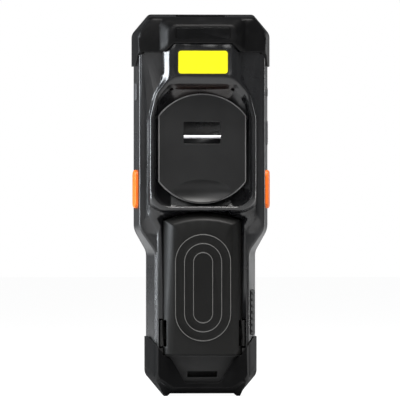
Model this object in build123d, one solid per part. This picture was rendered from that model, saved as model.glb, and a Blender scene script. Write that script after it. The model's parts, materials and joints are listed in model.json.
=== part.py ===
from build123d import *

import os

# Portable barcode data terminal, standing on the two feet of its bottom bumper.
# Millimetres.  +Z runs up to the scanner end, the back faces -Y, the keypad faces +Y.
# A depth is measured from the front plane of the bumpers towards the back.

# ---- overall ---------------------------------------------------------------
TOTAL_DEPTH = 37.0
TOTAL_HEIGHT = 224.0
HEAD_LENGTH = 126.5       # from the waist's upper end to the top
HEAD_HALF = 39.3          # half width of the head at the parting line
GRIP_HALF = 32.0          # half width of the grip at the parting line
WAIST_RUN = 13.0
FACE_DEPTH = 1.6          # front face behind the bumper lips
PARTING_DEPTH = 11.0      # middle of the joint between the two housings
CROWN_PROUD = 1.5         # how far the top bumper stands behind the raised back
RAISE = 11.0              # how far the raised back stands over the shoulders
WALL = 2.2
BUMPER_SEAT = 1.3         # how deep the bumpers are let into the housings
SEAL_THICK = 0.6
SEAL_WIDTH = 1.3
CLEARANCE = 0.3           # between seated pieces of different make
SLIP = 0.15               # round fixed plates in their seats

WAIST_TOP = TOTAL_HEIGHT - HEAD_LENGTH
WAIST_BOTTOM = WAIST_TOP - WAIST_RUN
BACK_DEPTH = TOTAL_DEPTH - CROWN_PROUD
SHOULDER_DEPTH = BACK_DEPTH - RAISE
RAIL_DEPTH = BACK_DEPTH - 6.3
FLANK_DEPTH = SHOULDER_DEPTH - PARTING_DEPTH
FLANK_MIDDLE = (SHOULDER_DEPTH + PARTING_DEPTH) / 2

# ---- back housing ----------------------------------------------------------
HEAD_DRAFT = 2.6          # how much the head narrows from parting line to shoulder
GRIP_DRAFT = 4.6
HOUSING_TOP = TOTAL_HEIGHT - 2.8
HOUSING_BOTTOM = 4.2
TOWER_HALF = 25.0
TOWER_DRAFT = 6.0         # how much the tower narrows up to the raised back
RIM_HALF = 32.0
RIM_DRAFT = 1.1
RAIL_DRAFT = 0.9
CROWN_ROUND = 3.0         # edge of the raised back
SHOULDER_ROUND = 1.6      # edge of the shoulders
TOWER_END = TOTAL_HEIGHT - 38.0
RIM_START = TOTAL_HEIGHT - 61.0
CREST_HEIGHT = WAIST_TOP + 12.5    # ridge between the recess and the battery
RIM_END = CREST_HEIGHT - 4.2
NECK_END = CREST_HEIGHT - 14.4
CREST_LAND = 1.0          # half the width of the ridge
FLOOR_DEPTH = BACK_DEPTH - 12.3    # recess floor
FLOOR_HALF = 27.0
FLOOR_TOP = TOTAL_HEIGHT - 44.7
FLOOR_BOTTOM = CREST_HEIGHT + CREST_LAND + 0.6
MOUTH_HALF = 28.9
MOUTH_TOP = TOTAL_HEIGHT - 40.6
MOUTH_BOTTOM = CREST_HEIGHT + CREST_LAND - 0.2
MOUTH_TOP_HALF = 19.4
RAIL_HALF = GRIP_HALF - GRIP_DRAFT - 0.8
TOWER_TOP_HALF = TOWER_HALF - TOWER_DRAFT
RIM_TOP_HALF = RIM_HALF - RIM_DRAFT

# ---- boards, posts and screws ----------------------------------------------
BOARD_THICK = 1.2
BOARD_SIDE_GAP = 0.4
MAIN_BOARD_HALF = HEAD_HALF - WALL - BUMPER_SEAT - BOARD_SIDE_GAP
MAIN_BOARD_LOW = 104.6
MAIN_BOARD_HIGH = HOUSING_TOP - 15.2
MAIN_BOARD_DEPTH = 8.4
CAN_THICK = 1.8
CAN_HALF = 16.0
CAN_HEIGHT = 23.0
CAN_MARGIN = 7.4
POST_DIAMETER = 4.6
POST_MARGIN = 2.2         # from a board's edge to its posts
PAD_POST_DIAMETER = 3.6
MAIN_POST_X = MAIN_BOARD_HALF - POST_MARGIN
MAIN_POST_LOW = MAIN_BOARD_LOW + 3.9
MAIN_POST_HIGH = MAIN_BOARD_HIGH - 4.5
PAD_SCREW_LENGTH = 3.6
MAIN_SCREW_LENGTH = 4.6
PLATE_SCREW_LENGTH = 4.6
SCREW_SHANK = 2.0
SCREW_HEAD = 3.8
SCREW_HEAD_THICK = 1.3
SCREW_SLIP = 0.05
SOCKET_RADIUS = 0.9
SOCKET_DEPTH = 0.8

# ---- grip plate and strap bar ----------------------------------------------
PLATE_MARGIN = 1.6        # between the plate and the recess floor's ends
PLATE_RADIUS = (FLOOR_TOP - FLOOR_BOTTOM) / 2 - PLATE_MARGIN
PLATE_CENTRE = (FLOOR_TOP + FLOOR_BOTTOM) / 2 - 0.6
PLATE_HALF = FLOOR_HALF - 1.2
PLATE_THICK = 4.0
PLATE_CHAMFER = 0.8
SLOT_WIDTH = 21.7
SLOT_HEIGHT = 12.9
SLOT_LOW = PLATE_CENTRE + 2.8
SLOT_HIGH = SLOT_LOW + SLOT_HEIGHT
BAR_HEIGHT = SLOT_LOW + 4.1
BAR_DIAMETER = 2.2
BAR_GRIP = 2.4            # how far each end of the bar reaches into the plate
BAR_INSET = 1.6           # bar axis below the plate's surface
WELL_WALL = 1.6
WELL_BOARD_GAP = 2.6      # between the well's back wall and the board's shield cans
WELL_FRONT = MAIN_BOARD_DEPTH + BOARD_THICK + CAN_THICK + WELL_BOARD_GAP + WELL_WALL
SCOOP_HEIGHT = PLATE_CENTRE - PLATE_RADIUS + 7.6
SCOOP_HALF = 16.9
SCOOP_RISE = 6.7
SCOOP_DEPTH = 2.5
PLATE_SCREW_RING = PLATE_RADIUS - 8.0
PLATE_SCREW_ANGLE = 36.0

# ---- battery ---------------------------------------------------------------
PACK_HALF = RAIL_HALF - 3.8
PACK_BOTTOM = 24.6
PACK_TOP = CREST_HEIGHT - 2.9
PACK_ARCH = 4.5
PACK_SIDE_TOP = PACK_TOP - PACK_ARCH
PACK_BEVEL = 5.3          # how much each long bevel takes off the pack's half width
PACK_FACE_HALF = PACK_HALF - PACK_BEVEL
PACK_BEVEL_DEPTH = RAIL_DEPTH + 0.4
PACK_WALL = 1.6
END_BEVEL = 4.8
BAY_GAP = 0.4
BAY_WALL = 1.8
BAY_FLOOR_DEPTH = 15.3
PACK_INNER_DEPTH = BAY_FLOOR_DEPTH + 0.6
FOOT_RAKE = 1.3
PACK_LIFT = 3.0           # how much the inner tray stops short of the shell's lower end
RIDGE_CENTRE = (PACK_BOTTOM + PACK_SIDE_TOP) / 2
RIDGE_RADIUS = PACK_FACE_HALF - 1.4
RIDGE_STRAIGHT = PACK_SIDE_TOP - PACK_BOTTOM - 2 * RIDGE_RADIUS - 16.0
RIDGE_STEP = 5.25
RIDGE_COUNT = 3
RIDGE_WIDTH = 1.0
RIDGE_RISE = 0.5
TONGUE_WIDTH = 8.0
TONGUE_SPACING = 26.0
TONGUE_THICK = 1.6
TONGUE_REACH = 1.8
CELL_ROUND = 2.5
CONTACT_COUNT = 4
CONTACT_PITCH = 4.2
CONTACT_LOW = PACK_BOTTOM + 8.4
CONTACT_SIZE = (2.8, 5.2)

# ---- latches ---------------------------------------------------------------
LATCH_LOW = PACK_BOTTOM + 4.8
LATCH_HIGH = LATCH_LOW + 15.0
LATCH_PROUD = 2.2
LATCH_OUT = PACK_HALF + LATCH_PROUD
LATCH_TRAVEL = 1.5
LATCH_BACK = PACK_BEVEL_DEPTH - 0.2
LATCH_FRONT = LATCH_BACK - 5.0
NOTCH_LOW = LATCH_LOW - 1.2
NOTCH_HIGH = LATCH_HIGH + 1.0
NOTCH_HALF = LATCH_OUT + 0.5
NOTCH_DEPTH = LATCH_FRONT - 0.6
STEM_HEIGHT = 7.0
STEM_THICK = 2.4
STEM_LENGTH = 2.6
GUIDE_WALL = 1.4
PACK_SPLIT_DEPTH = LATCH_FRONT - GUIDE_WALL - 2.0

# ---- bumpers ---------------------------------------------------------------
BUMPER_PROUD = 1.2        # how far the top bumper stands outside the head
BOOT_PROUD = 0.9
TOP_BUMPER_HALF = HEAD_HALF + BUMPER_PROUD
TOP_FLAT_HALF = TOP_BUMPER_HALF - 9.7
TOP_CORNER = TOTAL_HEIGHT - 11.5
TOP_EDGE_SHOULDER = TOTAL_HEIGHT - 22.4
TOP_EDGE_CENTRE = TOTAL_HEIGHT - 17.7
TOP_EDGE_SIDE = TOTAL_HEIGHT - 30.5
LIP_CHAMFER = 1.0
BUMPER_ROUND = 2.2
BOTTOM_BUMPER_HALF = GRIP_HALF + BOOT_PROUD
BOTTOM_BUMPER_TOP = 34.5
BOOT_STEP = 29.5
BOTTOM_CORNER = 12.6
FOOT_OUT = BOTTOM_BUMPER_HALF - 10.6
FOOT_IN = FOOT_OUT - 2.9
FOOT_RISE = 1.5
BOTTOM_BACK_DEPTH = RAIL_DEPTH + 1.2
PANEL_DEPTH = RAIL_DEPTH - 2.0
PANEL_TOP_HALF = 17.8
PANEL_LOW_HALF = 10.3
PANEL_HIGH = 21.2
PANEL_LOW = 8.0
STRAP_SLOT_WIDTH = 17.6
STRAP_SLOT_HEIGHT = 3.5
STRAP_SLOT_CENTRE = 12.9
STRAP_TUNNEL = 6.6

# ---- badge, label, scan window ---------------------------------------------
BADGE_WIDTH = 31.7
BADGE_HEIGHT = 6.5
BADGE_CENTRE = TOTAL_HEIGHT - 12.1
BADGE_RADIUS = 0.8
BADGE_THICK = 0.8
BADGE_INSET = 0.1
LABEL_WIDTH = 30.2
LABEL_HEIGHT = 14.7
LABEL_CENTRE = TOTAL_HEIGHT - 28.8
LABEL_RADIUS = 2.3
LABEL_THICK = 0.25
LABEL_PROUD = 0.05
WINDOW_WIDTH = 30.0
WINDOW_DEPTH = FLANK_DEPTH - 3.0
WINDOW_CENTRE_DEPTH = FLANK_MIDDLE - 0.4
WINDOW_THICK = 1.5
WINDOW_RADIUS = 2.0
ENGINE_WIDTH = 24.0
ENGINE_HEIGHT = 14.0
ENGINE_THICK = WINDOW_DEPTH - 0.5
ENGINE_LOW = HOUSING_TOP - 22.2

# ---- side keys -------------------------------------------------------------
TRIGGER_CENTRE = WAIST_TOP + 23.7
TRIGGER_LENGTH = 22.4
TRIGGER_DEPTH = FLANK_MIDDLE - 0.75
TRIGGER_HEIGHT = FLANK_DEPTH - 5.5
TRIGGER_PROUD = 1.7
ROCKER_CENTRE = TOTAL_HEIGHT - 69.7
ROCKER_LENGTH = 14.7
RIGHT_KEY_CENTRE = TOTAL_HEIGHT - 45.8
RIGHT_KEY_LENGTH = 5.6
LEFT_KEY_CENTRE = TOTAL_HEIGHT - 45.8
LEFT_KEY_LENGTH = 10.4
SMALL_KEY_DEPTH = FLANK_MIDDLE - 1.15
SMALL_KEY_HEIGHT = 4.6
SMALL_KEY_PROUD = 0.7
FLANGE_THICK = 1.0
FLANGE_MARGIN = 1.1
KEY_GAP = 0.25

# ---- port flap -------------------------------------------------------------
FLAP_LOW = 35.8
FLAP_HIGH = 62.0
FLAP_DEPTH = FLANK_MIDDLE - 0.35
FLAP_HEIGHT = FLANK_DEPTH - 5.1
FLAP_THICK = 1.7
FLAP_PROUD = 0.5
FLAP_RADIUS = 1.4
FLAP_RIBS = 7
FLAP_RIB_WIDTH = 1.5
FLAP_RIB_RISE = 0.45
PORT_WIDTH = 9.0
PORT_HEIGHT = 3.4
PORT_LENGTH = 2.4

# ---- front -----------------------------------------------------------------
GLASS_WIDTH = 2 * (HEAD_HALF - 7.3)
GLASS_LOW = 103.5
GLASS_HIGH = TOTAL_HEIGHT - 18.5
GLASS_THICK = 1.1
GLASS_RADIUS = 4.0
SCREEN_MARGIN = 4.5       # glass border beside the display
SCREEN_WIDTH = GLASS_WIDTH - 2 * SCREEN_MARGIN
SCREEN_LOW = GLASS_LOW + SCREEN_MARGIN
SCREEN_HIGH = GLASS_HIGH - SCREEN_MARGIN - 0.5
SCREEN_THICK = 3.0
GASKET_THICK = 0.5
GASKET_WIDTH = 2.0
SPEAKER_DIAMETER = 13.0
SPEAKER_THICK = 3.6
SPEAKER_HEIGHT = HOUSING_TOP - 10.4
SPEAKER_SLOTS = 3
SPEAKER_SLOT_PITCH = 2.0
FRONT_ROUND = 1.0

# ---- keypad ----------------------------------------------------------------
KEY_PROUD = 1.2
KEY_TRAVEL = 0.8
KEY_CORNER = 1.8
KEY_FLANGE = 0.8
KEY_FLANGE_MARGIN = 0.8
MAT_THICK = 1.0
KEY_FIELD = 2 * (GRIP_HALF - 6.5)
MAT_HALF = KEY_FIELD / 2 - 1.3
MAT_LOW = 12.5
MAT_HIGH = 96.4
DOME_DIAMETER = 4.0
DOME_RISE = 0.5
PAD_POST_X = KEY_FIELD / 2 + 0.9
PAD_POST_LOW = 17.0
PAD_POST_HIGH = 84.4
DIGIT_COLUMNS = 3
DIGIT_ROWS = 4
DIGIT_PITCH_X = KEY_FIELD / DIGIT_COLUMNS
DIGIT_PITCH_Z = 11.6
DIGIT_TOP = 67.0
DIGIT_SIZE = (DIGIT_PITCH_X - 2.8, 8.4)
FUNCTION_COUNT = 4
FUNCTION_PITCH = KEY_FIELD / FUNCTION_COUNT
FUNCTION_HEIGHT = 78.6
FUNCTION_SIZE = (FUNCTION_PITCH - 2.1, 6.6)
SCAN_KEY_HEIGHT = 90.6
CALL_KEY_OFFSET = KEY_FIELD / 2 - 7.5
CALL_KEY_SIZE = (10.6, 8.6)
SCAN_KEY_SIZE = (2 * CALL_KEY_OFFSET - CALL_KEY_SIZE[0] - 6.4, 11.4)
LOW_KEY_HEIGHT = 20.4
LOW_KEYS = ("power", "escape", "enter")
LOW_KEY_PITCH = KEY_FIELD / len(LOW_KEYS)
LOW_KEY_SIZE = (LOW_KEY_PITCH - 4.6, 7.0)

BAY_SCREW_X = PACK_HALF - 5.8
BAY_SCREW_HEIGHT = PACK_SIDE_TOP - 3.0
BAY_SCREW_LENGTH = 9.2
DOCK_COUNT = 5
DOCK_PITCH = 3.4
DOCK_DEPTH = PARTING_DEPTH - 4.4


# ---- shared helpers --------------------------------------------------------
def at(depth):
    """The y of a depth below the front plane."""
    return TOTAL_DEPTH / 2 - depth


def plane_at(depth):
    """A drawing plane at a depth, whose normal points to the back."""
    return Plane.XZ.offset(-at(depth))


def prism(face, front, back):
    """A flat outline carried from one depth to a greater one."""
    return extrude(plane_at(front) * face, back - front)


def block(half, low, high, front, back, centre=0.0):
    """A box given by its half width, its heights and its depths."""
    size = (2 * half, back - front, high - low)
    return Pos(centre, at((front + back) / 2), (low + high) / 2) * Box(*size)


def both_sides(corners):
    """A closed outline from its right-hand corners (x, z, radius), top to bottom."""
    left = [(-x, z, radius) for x, z, radius in reversed(corners)]
    ring = list(corners) + left
    path = FilletPolyline(*[(x, z) for x, z, radius in ring], radius=[c[2] for c in ring], close=True)
    return make_face(path)


def pillow(width, height, radius, centre_x=0.0, centre_z=0.0):
    """A rounded rectangle drawn at a place."""
    return Pos(centre_x, centre_z) * RectangleRounded(width, height, radius)


def between(front_face, front, back_face, back):
    """The ruled body that joins two matching outlines at two depths."""
    return loft([plane_at(front) * front_face, plane_at(back) * back_face], ruled=True)


def rod(x, z, diameter, front, back):
    """A round post along the depth."""
    return prism(Pos(x, z) * Circle(diameter / 2), front, back)


def round_off(body, depth, radius):
    """The body with the edges that lie at one depth rounded."""
    rim = body.edges().filter_by_position(Axis.Y, at(depth) - 0.01, at(depth) + 0.01)
    return fillet(rim, radius)


def save(node, shape):
    """Write one sub-part."""
    solids = shape.solids()
    kept = solids[0] if len(solids) == 1 else Compound(children=solids)
    export_step(kept, f"parts/{node}.step")


# ---- the outer form --------------------------------------------------------
def side_outline(head, grip, grow=0.0):
    """The whole silhouette of the housings at one depth."""
    return both_sides([
        (TOP_FLAT_HALF - 1.2 + 0.4 * grow, HOUSING_TOP + grow, 2.0),
        (head + grow, TOP_CORNER - 0.8 + 0.4 * grow, 5.0),
        (head + grow, WAIST_TOP, 12.0),
        (grip + grow, WAIST_BOTTOM, 9.0),
        (grip + grow, BOTTOM_CORNER - 0.4 * grow, 4.0),
        (FOOT_OUT - 0.4, HOUSING_BOTTOM - grow, 2.0),
    ])


def hollow_outline(head, grip, grow=0.0):
    """The outline of the hollow at one depth: narrower where the bumpers are let in."""
    return both_sides([
        (TOP_FLAT_HALF - 3.0 + 0.4 * grow, HOUSING_TOP - BUMPER_SEAT - WALL + grow, 2.0),
        (head - BUMPER_SEAT + grow, TOP_CORNER - 2.8 + 0.4 * grow, 4.0),
        (head - BUMPER_SEAT + grow, TOP_EDGE_SIDE - 1.0, 1.0),
        (head + grow, TOP_EDGE_SIDE - 4.0, 1.0),
        (head + grow, WAIST_TOP, 12.0),
        (grip + grow, WAIST_BOTTOM, 9.0),
        (grip + grow, BOTTOM_BUMPER_TOP + 4.0, 1.0),
        (grip - BUMPER_SEAT + grow, BOTTOM_BUMPER_TOP + 1.0, 1.0),
        (grip - BUMPER_SEAT + grow, BOTTOM_CORNER + 1.4 - 0.4 * grow, 3.0),
        (FOOT_OUT - 2.4, HOUSING_BOTTOM + BUMPER_SEAT + WALL - grow, 1.0),
    ])


def raised_outline(tower, rim, rail, draft, grow=0.0):
    """The outline of the raised back at one depth."""
    turn = tower + (rim - tower) * 0.62
    return both_sides([
        (tower + grow, HOUSING_TOP - 1.6 - draft + grow, 4.0),
        (tower + grow, TOWER_END, 9.0),
        (turn + grow, TOWER_END - (TOWER_END - RIM_START) * 0.4, 12.0),
        (rim + grow, RIM_START, 14.0),
        (rim + grow, RIM_END, 8.0),
        (rail + grow, NECK_END, 6.0),
        (rail + grow, HOUSING_BOTTOM + 1.0 - grow, 4.0),
    ])


def flank_body(grow=0.0, front=PARTING_DEPTH, back=SHOULDER_DEPTH):
    """The tapered body from the parting line to the shoulders."""
    share = (back - PARTING_DEPTH) / FLANK_DEPTH
    wide = side_outline(HEAD_HALF, GRIP_HALF, grow)
    narrow = side_outline(HEAD_HALF - HEAD_DRAFT * share, GRIP_HALF - GRIP_DRAFT * share, grow)
    return between(wide, front, narrow, back)


def raised_form(grow=0.0, back=BACK_DEPTH):
    """The drafted form of tower, rim and rails before the ridge is shaped."""
    root = raised_outline(TOWER_HALF, RIM_HALF, RAIL_HALF, 0.0, grow)
    crown = raised_outline(TOWER_TOP_HALF, RIM_TOP_HALF, RAIL_HALF - RAIL_DRAFT, 3.0, grow)
    return between(root, SHOULDER_DEPTH - WALL, crown, back)


def raised_body(grow=0.0, back=BACK_DEPTH):
    """The tower and the rim of the raised back, down to the ridge over the battery."""
    return round_off(raised_form(grow, back) & ridge_form(grow, back), back, CROWN_ROUND)


def ridge_form(grow, back):
    """Everything above the ridge between recess and battery, with its rounded corners."""
    foot = CREST_HEIGHT - CREST_LAND - 2.0
    low = both_sides([(RIM_HALF + 1.0 + grow, TOTAL_HEIGHT + 9, 1.0), (RIM_HALF + 1.0 + grow, foot, 11.0)])
    high = both_sides([(RIM_TOP_HALF + 0.1 + grow, TOTAL_HEIGHT + 9, 1.0),
                       (RIM_TOP_HALF + 0.1 + grow, foot + 1.8, 11.0)])
    deep = prism(low, SHOULDER_DEPTH - WALL - 1, RAIL_DEPTH)
    return deep + between(low, RAIL_DEPTH, high, back)


def rails_body(grow=0.0, back=BACK_DEPTH, top=RAIL_DEPTH):
    """The rails beside the battery, and the neck under the rim."""
    return raised_form(grow, back) & block(HEAD_HALF, -1, TOTAL_HEIGHT, 0, top)


def back_envelope():
    """The outer form of the back, without its recesses."""
    return rails_body() + raised_body() + round_off(flank_body(), SHOULDER_DEPTH, SHOULDER_ROUND)


# ---- back housing ----------------------------------------------------------
def recess_form():
    """The dished space above the grip plate, out to the raised back."""
    return between(recess_outline(FLOOR_HALF, FLOOR_TOP, FLOOR_BOTTOM, MOUTH_TOP_HALF - 1.6), FLOOR_DEPTH,
                   recess_outline(MOUTH_HALF, MOUTH_TOP, MOUTH_BOTTOM, MOUTH_TOP_HALF), BACK_DEPTH)


def recess_outline(half, top, bottom, top_half):
    """The recess at one depth: a flat top end, swept shoulders and rounded lower corners."""
    return both_sides([
        (top_half, top, 3.0),
        (top_half + (half - top_half) * 0.72, top - 6.4, 8.0),
        (half, RIM_START, 14.0),
        (half, bottom, 10.0),
    ])


def recess_tub():
    """The wall that stands round the recess inside the housing."""
    ring = recess_outline(MOUTH_HALF + WALL - 0.4, MOUTH_TOP + WALL, MOUTH_BOTTOM - WALL, MOUTH_TOP_HALF + 1.0)
    return prism(ring, FLOOR_DEPTH - WALL, BACK_DEPTH - 1.0)


def inner_space():
    """The hollow of the back housing behind the boards."""
    back = SHOULDER_DEPTH - WALL
    share = (back - PARTING_DEPTH) / FLANK_DEPTH
    wide = hollow_outline(HEAD_HALF - WALL, GRIP_HALF - WALL)
    narrow = hollow_outline(HEAD_HALF - HEAD_DRAFT * share - WALL, GRIP_HALF - GRIP_DRAFT * share - WALL)
    flanks = prism(wide, PARTING_DEPTH - 1.0, PARTING_DEPTH) + between(wide, PARTING_DEPTH, narrow, back)
    tower = block(TOWER_TOP_HALF - WALL, TOWER_END + 3.0, ENGINE_LOW + ENGINE_HEIGHT + 1.6,
                  back - 1.0, BACK_DEPTH - WALL)
    return flanks + tower


def bay_space():
    """The space that the battery pack fills, with the slots for its tongues."""
    arch = pack_outline(PACK_HALF + BAY_GAP, PACK_BOTTOM - BAY_GAP, BAY_GAP + 0.5)
    space = prism(arch, BAY_FLOOR_DEPTH, BACK_DEPTH + 5)
    for side in (-1, 1):
        space += block(TONGUE_WIDTH / 2 + 0.4, PACK_SIDE_TOP - 2, PACK_TOP + TONGUE_REACH + 0.8,
                       PACK_SPLIT_DEPTH - TONGUE_THICK - 0.8, PACK_SPLIT_DEPTH + 0.4,
                       side * TONGUE_SPACING / 2)
    return space


def latch_notch(side):
    """The finger notch in a rail, over one latch."""
    low_x = PACK_HALF - 1.0
    centre = (low_x + NOTCH_HALF) / 2
    return block((NOTCH_HALF - low_x) / 2, NOTCH_LOW, NOTCH_HIGH, NOTCH_DEPTH, BACK_DEPTH, side * centre)


def strap_well(grow=0.0):
    """The space behind the strap bar."""
    return block(SLOT_WIDTH / 2 + grow, SLOT_LOW - grow, SLOT_HIGH + grow,
                 WELL_FRONT - grow, FLOOR_DEPTH + 0.5 * (grow == 0))


def strap_tunnel(grow=0.0):
    """The hand strap's way in at the sunken panel and out at the foot."""
    low = STRAP_SLOT_CENTRE - STRAP_SLOT_HEIGHT / 2
    high = STRAP_SLOT_CENTRE + STRAP_SLOT_HEIGHT / 2
    half = STRAP_SLOT_WIDTH / 2
    way_in = block(half + grow, low - grow, high + grow, PANEL_DEPTH - STRAP_TUNNEL - grow, PANEL_DEPTH + 9)
    way_out = block(half + grow, -5, high + grow,
                    PANEL_DEPTH - STRAP_TUNNEL - grow, PANEL_DEPTH - STRAP_TUNNEL + STRAP_SLOT_HEIGHT + grow)
    return way_in + way_out


def rear_housing():
    """The back shell with its recess, its battery bay and its wells."""
    form = back_envelope()
    shell = form - inner_space()
    shell = shell + ((recess_tub() + bay_box() + strap_box()) & form) + strap_well(WELL_WALL)
    for side in (-1, 1):
        shell += rod(side * BAY_SCREW_X, BAY_SCREW_HEIGHT, SCREW_HEAD + 3, PARTING_DEPTH + 0.5, BAY_FLOOR_DEPTH)
        shell += rod(side * ENGINE_WIDTH / 3, ENGINE_LOW + ENGINE_HEIGHT / 2, POST_DIAMETER,
                     engine_back(), BACK_DEPTH - WALL + 0.2)
    shell = shell - bumper_seats() - recess_form() - bay_space() - strap_well() - strap_tunnel()
    shell -= block(60, 0, TOTAL_HEIGHT, 0, PARTING_DEPTH + SEAL_THICK / 2)
    shell -= window_cut(WINDOW_WIDTH - 3, WINDOW_DEPTH - 3)
    for side in (-1, 1):
        shell -= latch_notch(side)
        shell -= rod(side * BAY_SCREW_X, BAY_SCREW_HEIGHT, SCREW_SHANK + 0.6, 0, TOTAL_DEPTH)
        shell -= rod(side * BAY_SCREW_X, BAY_SCREW_HEIGHT, SCREW_HEAD + 0.4,
                     BAY_FLOOR_DEPTH - SCREW_HEAD_THICK - 0.1, TOTAL_DEPTH - 5)
    for x, z in plate_screw_places():
        shell -= rod(x, z, SCREW_SHANK + 2 * SCREW_SLIP, FLOOR_DEPTH - WALL - 2, FLOOR_DEPTH + 1)
    for cut in side_key_windows() + [flap_pocket(), port_pocket(), label_seat(), contact_seat()]:
        shell -= cut
    return shell.solids().sort_by(SortBy.VOLUME)[-1]


def bay_box():
    """The walls and floor round the battery bay."""
    reach = BAY_GAP + BAY_WALL
    outer = pack_outline(PACK_HALF + reach, PACK_BOTTOM - reach, reach + 0.8)
    return prism(outer, BAY_FLOOR_DEPTH - BAY_WALL, RAIL_DEPTH - 1.0)


def strap_box():
    """Material round the strap tunnel and behind the sunken panel."""
    return block(STRAP_SLOT_WIDTH / 2 + 2.0, HOUSING_BOTTOM, PACK_BOTTOM - 1.0,
                 PANEL_DEPTH - STRAP_TUNNEL - 1.8, RAIL_DEPTH)


def engine_back():
    return WINDOW_CENTRE_DEPTH + ENGINE_THICK / 2


# ---- bumpers ---------------------------------------------------------------
def top_zone():
    """The part of the head that the top bumper wraps, with its stepped lower edge."""
    outer = TOWER_HALF - 3.0
    inner = TOWER_TOP_HALF - 2.0
    edge = make_face(Polyline(
        (60, TOP_EDGE_SHOULDER), (outer, TOP_EDGE_SHOULDER), (inner, TOP_EDGE_CENTRE),
        (-inner, TOP_EDGE_CENTRE), (-outer, TOP_EDGE_SHOULDER), (-60, TOP_EDGE_SHOULDER),
        (-60, TOTAL_HEIGHT + 20), (60, TOTAL_HEIGHT + 20), close=True,
    ))
    zone = prism(edge, -1, TOTAL_DEPTH + 1)
    for side in (-1, 1):
        flank = make_face(Polyline(
            (at(-1), TOP_EDGE_SIDE), (at(SHOULDER_DEPTH - 6), TOP_EDGE_SIDE),
            (at(SHOULDER_DEPTH + 2), TOP_EDGE_SHOULDER + 1), (at(-1), TOP_EDGE_SHOULDER + 1), close=True,
        ))
        zone += Pos(side * (TOP_BUMPER_HALF + 5.5), 0, 0) * extrude(Plane.YZ * flank, 12, both=True)
    return zone


def bottom_zone():
    """The part of the grip that the bottom bumper wraps."""
    low = PACK_BOTTOM - BAY_GAP - 1.0
    inner = PACK_HALF - 1.3
    outer = GRIP_HALF - 1.0
    edge = make_face(Polyline(
        (60, BOTTOM_BUMPER_TOP), (outer, BOTTOM_BUMPER_TOP), (RAIL_HALF, BOOT_STEP), (inner, low),
        (-inner, low), (-RAIL_HALF, BOOT_STEP), (-outer, BOTTOM_BUMPER_TOP), (-60, BOTTOM_BUMPER_TOP),
        (-60, -20), (60, -20), close=True,
    ))
    return prism(edge, -1, TOTAL_DEPTH + 1)


def seated_envelope():
    """The whole housing form as the bumpers see it: let in by the seat depth."""
    front = prism(side_outline(HEAD_HALF, GRIP_HALF, -BUMPER_SEAT), FACE_DEPTH, PARTING_DEPTH)
    back = BACK_DEPTH - BUMPER_SEAT
    rails = rails_body(-BUMPER_SEAT, back, PANEL_DEPTH)
    return front + flank_body(-BUMPER_SEAT) + rails + raised_body(-BUMPER_SEAT, back)


def bumper_seats():
    """What the housings give up to the two bumpers."""
    zone = top_zone() + bottom_zone()
    return zone - seated_envelope()


def shifted(corners, across, up):
    """The same corners moved sideways and upwards, radii kept."""
    return [(x + across, z + up, radius) for x, z, radius in corners]


def bumper_body(corners, up, draft, rise):
    """A bumper's form round the flanks: a chamfered front lip, then the draft to the shoulders."""
    wide = both_sides(corners)
    lip = both_sides(shifted(corners, -LIP_CHAMFER, up * LIP_CHAMFER))
    drafted = [(x - draft * (x > TOP_FLAT_HALF), z + up * rise * (x <= TOP_FLAT_HALF), radius)
               for x, z, radius in corners]
    body = between(lip, 0, wide, LIP_CHAMFER) + prism(wide, LIP_CHAMFER, PARTING_DEPTH)
    back = SHOULDER_DEPTH + BUMPER_PROUD
    edge = both_sides(shifted(drafted, -SHOULDER_ROUND, up * SHOULDER_ROUND))
    body += between(wide, PARTING_DEPTH, both_sides(drafted), back - SHOULDER_ROUND)
    return body + between(both_sides(drafted), back - SHOULDER_ROUND, edge, back)


def top_bumper():
    """The rubber cap over the scanner end."""
    form = bumper_body([
        (TOP_FLAT_HALF, TOTAL_HEIGHT, 3.0),
        (TOP_BUMPER_HALF, TOP_CORNER, 6.0),
        (TOP_BUMPER_HALF, TOP_EDGE_SIDE - 2, 0.5),
    ], -1, HEAD_DRAFT, 2.2)
    root = both_sides([
        (TOWER_HALF + BUMPER_PROUD, TOTAL_HEIGHT - 2.6, 5.0),
        (TOWER_HALF + BUMPER_PROUD, TOP_EDGE_SIDE - 4, 4.0),
    ])
    crown = both_sides([
        (TOWER_TOP_HALF + 0.8, TOTAL_HEIGHT - 7.6, 5.0),
        (TOWER_TOP_HALF + 0.8, TOP_EDGE_SIDE - 4, 4.0),
    ])
    form += round_off(between(root, SHOULDER_DEPTH, crown, TOTAL_DEPTH), TOTAL_DEPTH, BUMPER_ROUND)
    cap = (form & top_zone()) - seated_envelope() - front_window(TOP_BUMPER_HALF)
    cap -= window_cut(WINDOW_WIDTH + 2 * SLIP, WINDOW_DEPTH + 2 * SLIP)
    cap -= badge_seat()
    return cap.solids().sort_by(SortBy.VOLUME)[-1]


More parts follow.
